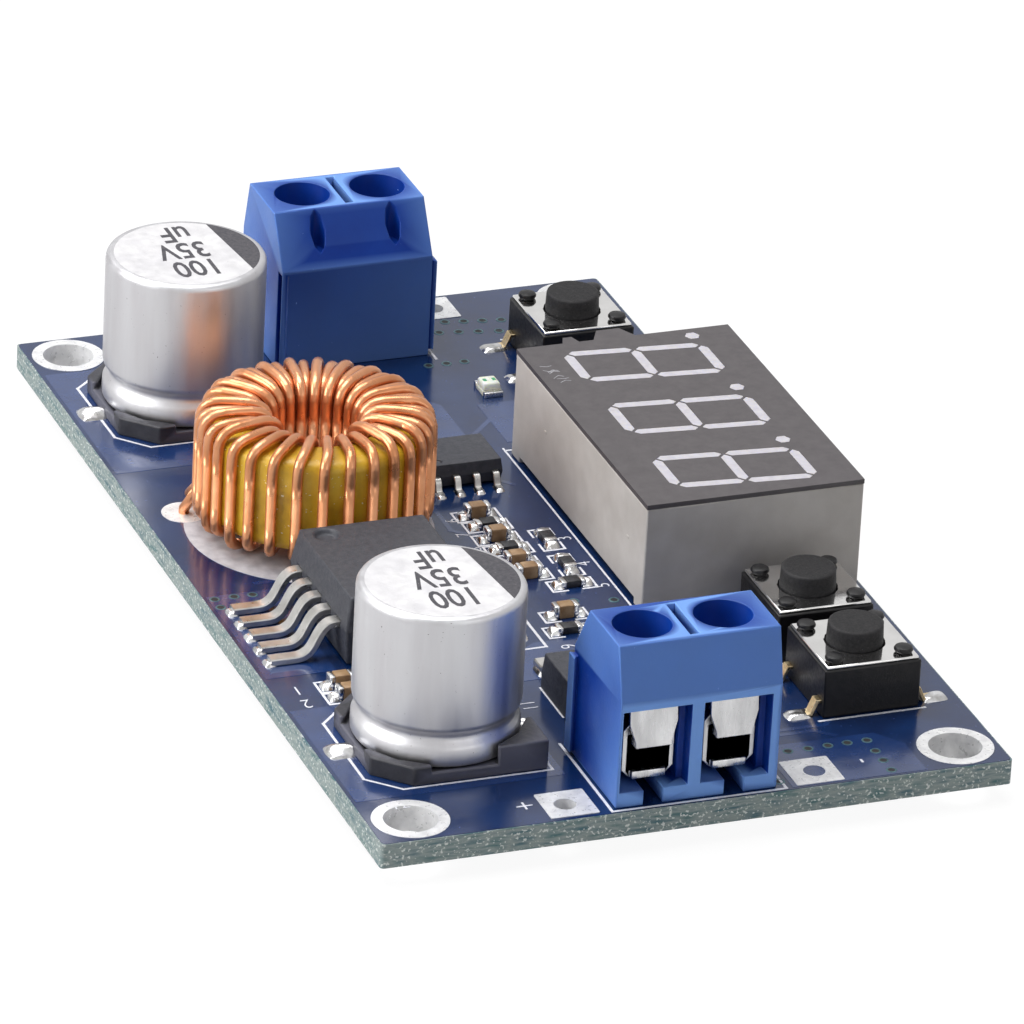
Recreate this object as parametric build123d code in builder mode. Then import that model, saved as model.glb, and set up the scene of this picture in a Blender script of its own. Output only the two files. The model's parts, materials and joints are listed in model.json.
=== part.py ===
from build123d import *
import os
from math import atan2, cos, degrees, radians, sin, tan

os.makedirs("parts", exist_ok=True)

# Buck converter module: a bare circuit board with a screw terminal at each short end, two
# electrolytic capacitors, a toroidal inductor, a switching regulator, a three digit meter
# and three push buttons. All sizes are in millimetres.
# Frame: +Z up through the board, +X along the short side towards the meter, +Y towards the
# output terminal. The origin is under the board's centre, at the tips of the cut pins.

# Circuit board
board_width = 39.2
board_length = 68.5
board_thickness = 1.6
pin_stub = 1.2
mount_spacing_x = 33.9
mount_spacing_y = 63.5
mount_hole_radius = 1.6
wire_hole_radius = 0.5
wire_hole_spacing = 15.5
wire_hole_inset = 1.8
pin_clearance = 0.1

# Sides of the many sided rings that stand in for hidden round ones
ring_sides = 16

# Electrolytic capacitors
capacitor_x = -12.3
input_capacitor_y = -22.95
output_capacitor_y = 23.3
can_radius = 5.0
can_top = 10.4
can_seat = 0.75
can_lip = 2.0
can_groove_radius = 4.6
can_groove_z = 2.55
can_body_z = 3.1
crimp_sides = 24
crimp_inset = 0.05
base_side = 10.3
base_plate = 0.7
base_chamfer = 2.0
base_block = 3.1
base_low_block = 1.2
base_high_block = 1.9
can_gap = 0.15
capacitor_lead_width = 1.0
capacitor_lead_thickness = 0.2
capacitor_lead_inner = 1.6
capacitor_lead_reach = 0.6

# Toroidal inductor
inductor_x = -9.9
inductor_y = 5.5
core_inner_radius = 3.8
core_outer_radius = 6.7
core_bottom = 1.25
core_top = 7.3
core_edge = 0.7
wire_radius = 0.34
wire_sides = 5
wire_gap = 0.03
turn_corner = 0.85
turn_rise = 0.45
front_angle = -111.75
front_pitch = 13.0
back_pitch = 7.9
crowded_pitch = 12.0
layer_sink = 0.08
first_turn = -90.0
winding_span = 318.0
lead_radius = 7.85
lead_turn = 4.0
lead_hole_radius = 0.55
lead_bend_z = 0.7
lead_join_z = 3.2

# Root of every formed lead inside its moulded body
lead_root = 0.8

# Switching regulator, a flat power package with five leads and a tab
regulator_x = -10.0
regulator_y = -8.0
regulator_body_x = 8.7
regulator_body_y = 10.1
regulator_height = 4.4
regulator_standoff = 0.1
regulator_parting = 2.3
regulator_draft = 10.0
regulator_lead_pitch = 1.7
regulator_lead_width = 0.85
regulator_lead_thickness = 0.45
regulator_lead_shoulder = 0.85
regulator_lead_fall = 0.95
regulator_lead_foot = 2.35
regulator_tab_thickness = 1.25
regulator_tab_reach = 2.1
regulator_tab_width = 9.6

# Free wheel diode, a smaller power package with two leads and a tab
diode_x = -0.75
diode_gap = 0.7
diode_body_x = 6.5
diode_body_y = 6.1
diode_height = 2.35
diode_lead_pitch = 4.57
diode_lead_width = 0.8
diode_lead_thickness = 0.5
diode_lead_z = 1.0
diode_lead_shoulder = 0.7
diode_lead_fall = 0.7
diode_lead_foot = 1.3
diode_tab_width = 5.3
diode_tab_reach = 0.9
diode_tab_thickness = 0.5
diode_draft = 5.0

# Amplifier chip with eight gull wing leads
chip_x = 0.9
chip_y = 9.8
chip_length = 4.9
chip_width = 3.9
chip_height = 1.6
chip_standoff = 0.12
chip_draft = 8.0
chip_lead_pitch = 1.27
chip_lead_width = 0.42
chip_lead_thickness = 0.2
chip_lead_z = 0.8
chip_lead_shoulder = 0.3
chip_lead_foot = 0.55
chip_lead_fall = 0.25

# Three digit meter
meter_x = 12.25
meter_y = 0.22
meter_width = 14.0
meter_length = 22.4
meter_height = 7.2
meter_foot = 0.4
meter_foot_side = 1.4
meter_mask = 0.3
meter_lug_width = 2.75
meter_lug_reach = 1.2
meter_small_lug_width = 1.05
meter_small_lug_reach = 0.75
meter_lug_x = -0.55
meter_small_lug_x = -3.4
meter_lug_narrowing = 0.55
digit_height = 9.2
digit_gap = 3.13
digit_margin = 1.47
digit_slant = 5.5
digit_shift = -0.1
segment_width = 0.66
segment_gap = 0.1
dot_radius = 0.5
dot_gap = 0.6
dot_y = -4.25
meter_row_spacing = 10.16
meter_pin_pitch = 2.54
meter_pin_side = 0.5

# Push buttons
switch_x = 13.75
mode_switch_y = 23.7
switch_pitch = 7.4
switch_gap = 2.02
switch_side = 6.1
switch_body = 3.1
cover_side = 5.85
cover_thickness = 0.2
rivet_spacing = 4.4
rivet_side = 0.6
rivet_head_radius = 0.55
rivet_head = 0.4
rivet_gap = 0.05
button_radius = 1.72
button_sides = 20
button_flange_radius = 2.1
button_flange = 0.4
button_top = 4.55
button_play = 0.03
button_gap = 0.08
button_travel = 0.25
button_nub_radius = 0.7
well_gap = 0.15
well_floor = 1.1
dome_sides = 6
dome_radius = 1.9
dome_slope = 60.0
dome_height = 0.55
dome_thickness = 0.1
dome_gap = 0.05
contact_spacing = 4.5
contact_width = 0.7
contact_thickness = 0.2
contact_cover = 0.1
contact_shoulder = 0.2
contact_fall = 0.35
contact_foot = 0.8

# Screw terminals
terminal_shift = 0.12
terminal_front = 33.7
terminal_width = 10.0
terminal_depth = 7.6
terminal_height = 10.1
front_step = 6.8
front_lean = 0.85
back_step = 6.85
back_lean = 2.05
pole_pitch = 5.0
pole_shift = -0.18
mouth_width = 4.2
mouth_top = 6.15
mouth_depth = 1.0
chamber_gap = 0.1
terminal_floor = 0.95
floor_slot = 1.2
ledge = 0.45
driver_hole_radius = 1.75
key_slot_width = 0.55
key_slot_wall = 0.4
key_slot_depth = 1.2
rib_setback = 0.5
rib_root = 0.5
rib_width = 0.9
rib_reach = 0.35
rib_top = 6.5
terminal_rib_bottom = 0.3
rib_gap = 0.08
sight_width = 0.95
sight_length = 1.5
sight_setback = 1.3
sight_floor = 7.6
leaf_bottom = 3.55
strip_thickness = 0.35
leaf_width = 2.25
flap_width = 2.95
flap_front = 0.3
flap_lean = 0.3
flap_shoulder = 0.95
flap_top = 5.95
pin_width = 1.0
pin_setback = 0.1
cage_width = 3.25
cage_front = 1.2
cage_back = 2.4
cage_wall = 0.35
cage_floor = 0.5
cage_bridge = 0.8
cage_bottom = 1.25
cage_corner = 0.5
cage_tongue = 0.3
cage_tongue_width = 2.1
cage_rise = 1.5
cage_headroom = 0.1
bridge_gap = 0.1
screw_radius = 1.2
screw_clearance = 0.08
screw_head_radius = 1.6
screw_head = 1.0
screw_gap = 0.05
driver_slot_width = 0.5
driver_slot_depth = 0.5

# Small chip parts and the indicator light
capacitor_places = [(0.2, 3.9), (0.3, 0.6), (0.3, -2.85), (0.4, -4.6), (0.7, -10.05)]
filter_capacitor_places = [(-15.3, -15.05), (-15.3, -16.55)]
resistor_places = [(0.35, 2.4), (0.5, -0.95), (2.55, -6.35), (0.2, -12.0)]
upright_resistor_places = [(3.2, -0.3), (3.15, -3.85)]
part_length = 1.6
part_width = 0.8
capacitor_height = 0.85
resistor_height = 0.45
end_length = 0.35
light_x = 7.0
light_y = 20.2
light_length = 2.0
light_width = 1.25
light_base = 0.35
light_height = 0.8
light_draft = 12.0

board_top = pin_stub + board_thickness
terminals = {
    "input": Plane(origin=(-terminal_shift, -terminal_front, board_top)),
    "output": Plane(origin=(terminal_shift, terminal_front, board_top), x_dir=(-1, 0, 0)),
}
poles = {"left": pole_shift - pole_pitch / 2, "right": pole_shift + pole_pitch / 2}
terminal_back = terminal_depth - terminal_front
cage_depth = terminal_depth - cage_front - cage_back
screw_depth = cage_front + cage_depth / 2
chamber_depth = cage_front + cage_depth + chamber_gap
pin_depth = chamber_depth + pin_setback
rib_centre = terminal_depth - rib_setback
sight_centre = terminal_depth - sight_setback
key_slot_length = terminal_depth - front_lean - back_lean - 2 * key_slot_wall
leaf_top = leaf_bottom + strip_thickness
cage_top = leaf_top + bridge_gap + cage_bridge
chamber_top = cage_top + cage_rise + cage_headroom
screw_seat = chamber_top + ledge
diode_y = terminal_back + diode_gap + diode_tab_reach + diode_body_y / 2
down_switch_y = meter_y - meter_length / 2 - switch_gap - switch_side / 2
switch_places = {
    "up": down_switch_y - switch_pitch,
    "down": down_switch_y,
    "mode": mode_switch_y,
}
digit_pitch = (meter_length + digit_gap - 2 * digit_margin) / 3
digit_width = digit_pitch - digit_gap
dot_x = digit_width / 2 + dot_gap
dome_top = well_floor + dome_height
well_radius = button_flange_radius + well_gap
contact_top = well_floor - contact_cover


# A plane seen from the side of a part, with its width axis as the normal
def side_plane(at, x=0.0):
    return Plane(origin=at.from_local_coords((x, 0, 0)), x_dir=at.y_dir, z_dir=at.x_dir)


# A plane seen from the front of a part, with the normal towards the viewer
def front_plane(at, y=0.0):
    return Plane(origin=at.from_local_coords((0, y, 0)), x_dir=at.x_dir, z_dir=-at.y_dir)


# A plane that stands on its edge, with its own x axis pointing outwards and its y axis up
def lead_plane(x, y, outward):
    normal = Vector(*outward).cross(Vector(0, 0, 1))
    return Plane(origin=(x, y, board_top), x_dir=outward, z_dir=normal)


# The outline of a gull wing lead, from its root inside the body to the end of its foot
def lead_outline(shoulder, fall, foot, z, thickness):
    half = thickness / 2
    turn = half * tan(atan2(z - half, fall) / 2)
    knee = shoulder + fall
    end = knee + foot
    return [
        (-lead_root, z + half),
        (shoulder + turn, z + half),
        (knee + turn, thickness),
        (end, thickness),
        (end, 0),
        (knee - turn, 0),
        (shoulder - turn, z - half),
        (-lead_root, z - half),
    ]


# The turns of the winding: how far round each one stands, and in which layer it lies
# The pitch is wide where the coil shows its front, and tight enough behind it for every
# second turn to ride over its neighbours into a second layer.
def turn_places():
    places = []
    angle = first_turn
    second_layer = False
    while angle < first_turn + winding_span:
        facing = max(0.0, cos(radians(angle)))
        pitch = back_pitch + (front_pitch - back_pitch) * facing
        places.append((angle + front_angle, pitch, second_layer))
        crowded = pitch < crowded_pitch
        second_layer = crowded and not second_layer
        angle += pitch
    return places


outer_turn_radius = core_outer_radius + wire_radius + wire_gap
inner_turn_radius = core_inner_radius - wire_radius - wire_gap
second_turn_radius = inner_turn_radius - 2 * wire_radius + layer_sink
turn_top = board_top + core_top + wire_radius + wire_gap
turn_bottom = board_top + core_bottom - wire_radius - wire_gap
turns = turn_places()
lead_angles = (turns[0][0] - lead_turn, turns[-1][0] + lead_turn)
lead_places = [
    (inductor_x + lead_radius * cos(radians(a)), inductor_y + lead_radius * sin(radians(a)))
    for a in lead_angles
]


# A point of the winding at a radius, an angle in degrees and a height
def coil_point(radius, angle, z):
    return (
        inductor_x + radius * cos(radians(angle)),
        inductor_y + radius * sin(radians(angle)),
        z,
    )


# One turn: up the outside, over the top, down through the hole and back out underneath
def turn_points(angle, pitch, second_layer):
    inner = angle + 0.5 * pitch
    crown = outer_turn_radius - turn_corner
    hole = second_turn_radius if second_layer else inner_turn_radius
    rise = turn_rise if second_layer else 0.0
    return [
        coil_point(outer_turn_radius, angle, turn_bottom),
        coil_point(outer_turn_radius, angle, turn_top - turn_corner),
        coil_point(crown, angle + 0.1 * pitch, turn_top),
        coil_point(hole, inner, turn_top + rise),
        coil_point(hole, inner, turn_bottom - rise),
    ]


terminal_pins = [
    at.from_local_coords((x, pin_depth + strip_thickness / 2, 0))
    for at in terminals.values()
    for x in poles.values()
]
meter_plane = Plane(origin=(meter_x, meter_y, board_top))

# Circuit board with mounting holes, bare wire holes and the holes of the soldered pins
with BuildPart() as board:
    with BuildSketch(Plane.XY.offset(pin_stub)):
        Rectangle(board_width, board_length)
        with GridLocations(mount_spacing_x, mount_spacing_y, 2, 2):
            Circle(mount_hole_radius, mode=Mode.SUBTRACT)
        with GridLocations(wire_hole_spacing, board_length - 2 * wire_hole_inset, 2, 2):
            RegularPolygon(wire_hole_radius, 6, mode=Mode.SUBTRACT)
        with Locations(*lead_places):
            RegularPolygon(lead_hole_radius, 6, mode=Mode.SUBTRACT)
        with Locations(*[(p.X, p.Y) for p in terminal_pins]):
            Rectangle(
                pin_width + 2 * pin_clearance,
                strip_thickness + 2 * pin_clearance,
                mode=Mode.SUBTRACT,
            )
        with Locations((meter_x, meter_y)):
            with GridLocations(meter_row_spacing, meter_pin_pitch, 2, 6):
                meter_hole = meter_pin_side + 2 * pin_clearance
                Rectangle(meter_hole, meter_hole, mode=Mode.SUBTRACT)
    extrude(amount=board_thickness)
board.part.label = "circuit_board"
export_step(board.part, "parts/circuit_board.step")

# Electrolytic capacitors: moulded base, flat leads under it and a crimped can
crimp_radius = can_radius - crimp_inset
crimp_width = crimp_radius - can_groove_radius
for name, y in {"input": input_capacitor_y, "output": output_capacitor_y}.items():
    seat = Plane(origin=(capacitor_x, y, board_top))

    with BuildPart() as base:
        with BuildSketch(seat) as outline:
            Rectangle(base_side, base_side)
            chamfer(outline.vertices().group_by(Axis.X)[0], base_chamfer)
        extrude(amount=base_plate)
        with BuildSketch(seat.offset(base_plate)) as low_blocks:
            with GridLocations(base_side - base_block, base_side - base_block, 2, 2):
                Rectangle(base_block, base_block)
            with Locations((base_side / 2, 0)):
                Rectangle(base_side, base_side, mode=Mode.SUBTRACT)
            chamfer(low_blocks.vertices().group_by(Axis.X)[0].sort_by(Axis.Y)[0], base_chamfer)
            chamfer(low_blocks.vertices().group_by(Axis.X)[0].sort_by(Axis.Y)[-1], base_chamfer)
            RegularPolygon(
                can_radius + can_gap, ring_sides, major_radius=False, mode=Mode.SUBTRACT
            )
        extrude(amount=base_low_block - base_plate)
        with BuildSketch(seat.offset(base_plate)):
            with GridLocations(base_side - base_block, base_side - base_block, 2, 2):
                Rectangle(base_block, base_block)
            with Locations((-base_side / 2, 0)):
                Rectangle(base_side, base_side, mode=Mode.SUBTRACT)
            RegularPolygon(
                can_radius + can_gap, ring_sides, major_radius=False, mode=Mode.SUBTRACT
            )
        extrude(amount=base_high_block - base_plate)
        with BuildSketch(seat):
            with Locations((base_side / 2, 0), (-base_side / 2, 0)):
                Rectangle(
                    base_side - 2 * capacitor_lead_inner, capacitor_lead_width, mode=Mode.ADD
                )
        extrude(amount=capacitor_lead_thickness, mode=Mode.SUBTRACT)
    base.part.label = f"{name}_capacitor_base"
    export_step(base.part, f"parts/{name}_capacitor_base.step")

    with BuildPart() as leads:
        lead_length = base_side / 2 + capacitor_lead_reach - capacitor_lead_inner
        lead_centre = capacitor_lead_inner + lead_length / 2
        with BuildSketch(seat):
            with Locations((lead_centre, 0), (-lead_centre, 0)):
                Rectangle(lead_length, capacitor_lead_width)
        extrude(amount=capacitor_lead_thickness)
    leads.part.label = f"{name}_capacitor_leads"
    export_step(leads.part, f"parts/{name}_capacitor_leads.step")

    with BuildPart() as can:
        with BuildSketch(seat.offset(can_seat)):
            RegularPolygon(crimp_radius, crimp_sides, major_radius=False)
        extrude(amount=can_lip - can_seat)
        with BuildSketch(seat.offset(can_lip)):
            RegularPolygon(crimp_radius, crimp_sides, major_radius=False)
        lower_slope = degrees(atan2(crimp_width, can_groove_z - can_lip))
        extrude(amount=can_groove_z - can_lip, taper=lower_slope)
        with BuildSketch(seat.offset(can_groove_z)):
            RegularPolygon(can_groove_radius, crimp_sides, major_radius=False)
        upper_slope = degrees(atan2(crimp_width, can_body_z - can_groove_z))
        extrude(amount=can_body_z - can_groove_z, taper=-upper_slope)
        with BuildSketch(seat.offset(can_body_z)):
            Circle(can_radius)
        extrude(amount=can_top - can_body_z)
    can.part.label = f"{name}_capacitor_can"
    export_step(can.part, f"parts/{name}_capacitor_can.step")

# Inductor core, a ring of painted powder iron
with BuildPart() as core:
    with BuildSketch(Plane(origin=(inductor_x, inductor_y, board_top + core_bottom))):
        RegularPolygon(core_outer_radius, ring_sides)
        RegularPolygon(core_inner_radius, ring_sides, major_radius=False, mode=Mode.SUBTRACT)
    extrude(amount=core_top - core_bottom)
    rims = core.edges().filter_by(Axis.Z, reverse=True)
    chamfer(rims, core_edge)
core.part.label = "inductor_core"
export_step(core.part, "parts/inductor_core.step")

# Inductor winding, one length of wire from one soldered end to the other
winding_points = [
    (*lead_places[0], 0.0),
    (*lead_places[0], board_top + lead_bend_z),
    coil_point(outer_turn_radius, turns[0][0], board_top + lead_join_z),
]
winding_points += turn_points(*turns[0])[1:]
for place in turns[1:-1]:
    winding_points += turn_points(*place)
winding_points += [
    coil_point(outer_turn_radius, turns[-1][0], turn_bottom),
    coil_point(outer_turn_radius, turns[-1][0], board_top + lead_join_z),
    (*lead_places[1], board_top + lead_bend_z),
    (*lead_places[1], 0.0),
]
with BuildPart() as winding:
    with BuildLine() as route:
        Polyline(*winding_points)
    with BuildSketch(Plane(origin=winding_points[0], z_dir=(0, 0, 1))):
        RegularPolygon(wire_radius, wire_sides)
    sweep(path=route.wires()[0], transition=Transition.RIGHT)
winding.part.label = "inductor_winding"
export_step(winding.part, "parts/inductor_winding.step")

# Regulator: drafted body, five formed leads and the soldered tab under its other end
regulator = Plane(origin=(regulator_x, regulator_y, board_top))
regulator_edge = regulator_body_x / 2
with BuildPart() as regulator_body:
    with BuildSketch(regulator.offset(regulator_parting)):
        Rectangle(regulator_body_x, regulator_body_y)
    extrude(amount=regulator_height - regulator_parting, taper=regulator_draft)
    with BuildSketch(regulator.offset(regulator_parting)):
        Rectangle(regulator_body_x, regulator_body_y)
    extrude(amount=regulator_standoff - regulator_parting, taper=regulator_draft / 2)
    with BuildSketch(regulator):
        with Locations((regulator_edge, 0)):
            Rectangle(2 * regulator_edge, regulator_tab_width)
    extrude(amount=regulator_tab_thickness, mode=Mode.SUBTRACT)
    with BuildSketch(side_plane(regulator, -regulator_edge)):
        with Locations((0, regulator_parting)):
            with GridLocations(regulator_lead_pitch, 0, 5, 1):
                Rectangle(regulator_lead_width, regulator_lead_thickness)
    extrude(amount=lead_root, mode=Mode.SUBTRACT)
regulator_body.part.label = "regulator_body"
export_step(regulator_body.part, "parts/regulator_body.step")

with BuildPart() as regulator_tab:
    with BuildSketch(regulator):
        with Locations((regulator_edge / 2 + regulator_tab_reach / 2, 0)):
            Rectangle(regulator_edge + regulator_tab_reach, regulator_tab_width)
    extrude(amount=regulator_tab_thickness)
regulator_tab.part.label = "regulator_tab"
export_step(regulator_tab.part, "parts/regulator_tab.step")

with BuildPart() as regulator_leads:
    for i in range(5):
        lead_y = regulator_y + (i - 2) * regulator_lead_pitch
        with BuildSketch(lead_plane(regulator_x - regulator_edge, lead_y, (-1, 0, 0))):
            with BuildLine():
                Polyline(
                    *lead_outline(
                        regulator_lead_shoulder,
                        regulator_lead_fall,
                        regulator_lead_foot,
                        regulator_parting,
                        regulator_lead_thickness,
                    ),
                    close=True,
                )
            make_face()
        extrude(amount=regulator_lead_width / 2, both=True)
regulator_leads.part.label = "regulator_leads"
export_step(regulator_leads.part, "parts/regulator_leads.step")

# Free wheel diode in the smaller power package
diode = Plane(origin=(diode_x, diode_y, board_top))
with BuildPart() as diode_body:
    with BuildSketch(diode.offset(diode_lead_z)):
        Rectangle(diode_body_x, diode_body_y)
    extrude(amount=diode_height - diode_lead_z, taper=diode_draft)
    with BuildSketch(diode.offset(diode_lead_z)):
        Rectangle(diode_body_x, diode_body_y)
    extrude(amount=-diode_lead_z)
    with BuildSketch(diode):
        with Locations((0, -diode_body_y / 2)):
            Rectangle(diode_tab_width, diode_body_y)
    extrude(amount=diode_tab_thickness, mode=Mode.SUBTRACT)
    with BuildSketch(front_plane(diode, diode_body_y / 2)):
        with Locations((0, diode_lead_z)):
            with GridLocations(diode_lead_pitch, 0, 2, 1):
                Rectangle(diode_lead_width, diode_lead_thickness)
    extrude(amount=lead_root, mode=Mode.SUBTRACT)
diode_body.part.label = "diode_body"
export_step(diode_body.part, "parts/diode_body.step")

with BuildPart() as diode_tab:
    with BuildSketch(diode):
        with Locations((0, -diode_body_y / 4 - diode_tab_reach / 2)):
            Rectangle(diode_tab_width, diode_body_y / 2 + diode_tab_reach)
    extrude(amount=diode_tab_thickness)
diode_tab.part.label = "diode_tab"
export_step(diode_tab.part, "parts/diode_tab.step")

with BuildPart() as diode_leads:
    for side in (-1, 1):
        lead_x = diode_x + side * diode_lead_pitch / 2
        with BuildSketch(lead_plane(lead_x, diode_y + diode_body_y / 2, (0, 1, 0))):
            with BuildLine():
                Polyline(
                    *lead_outline(
                        diode_lead_shoulder,
                        diode_lead_fall,
                        diode_lead_foot,
                        diode_lead_z,
                        diode_lead_thickness,
                    ),
                    close=True,
                )
            make_face()
        extrude(amount=diode_lead_width / 2, both=True)
diode_leads.part.label = "diode_leads"
export_step(diode_leads.part, "parts/diode_leads.step")

# Amplifier chip with four gull wing leads along each long side
chip = Plane(origin=(chip_x, chip_y, board_top))
with BuildPart() as chip_body:
    with BuildSketch(chip.offset(chip_lead_z)):
        Rectangle(chip_length, chip_width)
    extrude(amount=chip_height - chip_lead_z, taper=chip_draft)
    with BuildSketch(chip.offset(chip_lead_z)):
        Rectangle(chip_length, chip_width)
    extrude(amount=chip_standoff - chip_lead_z, taper=chip_draft)
    with BuildSketch(front_plane(chip, -chip_width / 2), front_plane(chip, chip_width / 2)):
        with Locations((0, chip_lead_z)):
            with GridLocations(chip_lead_pitch, 0, 4, 1):
                Rectangle(chip_lead_width, chip_lead_thickness)
    extrude(amount=lead_root, both=True, mode=Mode.SUBTRACT)
chip_body.part.label = "chip_body"
export_step(chip_body.part, "parts/chip_body.step")

with BuildPart() as chip_leads:
    for side in (-1, 1):
        for i in range(4):
            lead_x = chip_x + (i - 1.5) * chip_lead_pitch
            with BuildSketch(lead_plane(lead_x, chip_y + side * chip_width / 2, (0, side, 0))):
                with BuildLine():
                    Polyline(
                        *lead_outline(
                            chip_lead_shoulder,
                            chip_lead_fall,
                            chip_lead_foot,
                            chip_lead_z,
                            chip_lead_thickness,
                        ),
                        close=True,
                    )
                make_face()
            extrude(amount=chip_lead_width / 2, both=True)
chip_leads.part.label = "chip_leads"
export_step(chip_leads.part, "parts/chip_leads.step")


# The outlines of the seven segments of a slanted digit, in the frame of the upright digit
def segment_outlines():
    x = (digit_width - segment_width) / 2
    y = (digit_height - segment_width) / 2
    half = segment_width / 2
    ends = [((-x, h), (1, 0), 2 * x) for h in (-y, 0, y)]
    ends += [((w, h), (0, 1), y) for w in (-x, x) for h in (-y, 0)]
    outlines = []
    for start, way, length in ends:
        near = segment_gap + half
        far = length - near
        shape = [(segment_gap, 0), (near, half), (far, half)]
        shape += [(length - segment_gap, 0), (far, -half), (near, -half)]
        points = []
        for along, across in shape:
            px = start[0] + way[0] * along - way[1] * across
            py = start[1] + way[1] * along + way[0] * across
            points.append((px + py * tan(radians(digit_slant)), py))
        outlines.append(points)
    return outlines


# The meter from above: a rectangle with two moulded lugs on its far end
def draw_meter_outline():
    Rectangle(meter_width, meter_length)
    lugs = (
        (meter_lug_x, meter_lug_width / 2, meter_lug_reach),
        (meter_small_lug_x, meter_small_lug_width / 2, meter_small_lug_reach),
    )
    for x, half, reach in lugs:
        foot = meter_length / 2
        Polygon(
            (x - half, foot),
            (x + half, foot),
            (x + meter_lug_narrowing * half, foot + reach),
            (x - meter_lug_narrowing * half, foot + reach),
            align=None,
        )


# Meter: the upright digits stand along -X, so their own x axis runs along the meter's +Y
meter_face = meter_height - meter_mask
windows = []
dots = []
for i in range(3):
    digit_y = digit_shift + (i - 1) * digit_pitch
    dots.append((-dot_y, digit_y + dot_x))
    for outline in segment_outlines():
        windows.append([(-py, digit_y + px) for px, py in outline])

with BuildPart() as meter_shell:
    with BuildSketch(meter_plane.offset(meter_foot)):
        draw_meter_outline()
    extrude(amount=meter_face - meter_foot)
    with BuildSketch(meter_plane):
        with GridLocations(meter_width - meter_foot_side, meter_length - meter_foot_side, 2, 2):
            Rectangle(meter_foot_side, meter_foot_side)
    extrude(amount=meter_foot)
meter_shell.part.label = "meter_shell"
export_step(meter_shell.part, "parts/meter_shell.step")

with BuildPart() as meter_front:
    with BuildSketch(meter_plane.offset(meter_face)):
        draw_meter_outline()
        for window in windows:
            Polygon(*window, align=None, mode=Mode.SUBTRACT)
        with Locations(*dots):
            RegularPolygon(dot_radius, 6, mode=Mode.SUBTRACT)
    extrude(amount=meter_mask)
meter_front.part.label = "meter_front"
export_step(meter_front.part, "parts/meter_front.step")

with BuildPart() as meter_segments:
    with BuildSketch(meter_plane.offset(meter_face)):
        for window in windows:
            Polygon(*window, align=None)
        with Locations(*dots):
            RegularPolygon(dot_radius, 6)
    extrude(amount=meter_mask)
meter_segments.part.label = "meter_segments"
export_step(meter_segments.part, "parts/meter_segments.step")

with BuildPart() as meter_pins:
    with BuildSketch(Plane(origin=(meter_x, meter_y, 0))):
        with GridLocations(meter_row_spacing, meter_pin_pitch, 2, 6):
            Rectangle(meter_pin_side, meter_pin_side)
    extrude(amount=board_top + meter_foot)
meter_pins.part.label = "meter_pins"
export_step(meter_pins.part, "parts/meter_pins.step")


# The flat part of a switch's two contact strips, one of them with a tongue to the middle
def draw_contact_strips():
    with GridLocations(0, contact_spacing, 1, 2):
        Rectangle(switch_side, contact_width)
    with Locations((0, -contact_spacing / 4)):
        Rectangle(contact_width, contact_spacing / 2 + contact_width)


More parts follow.
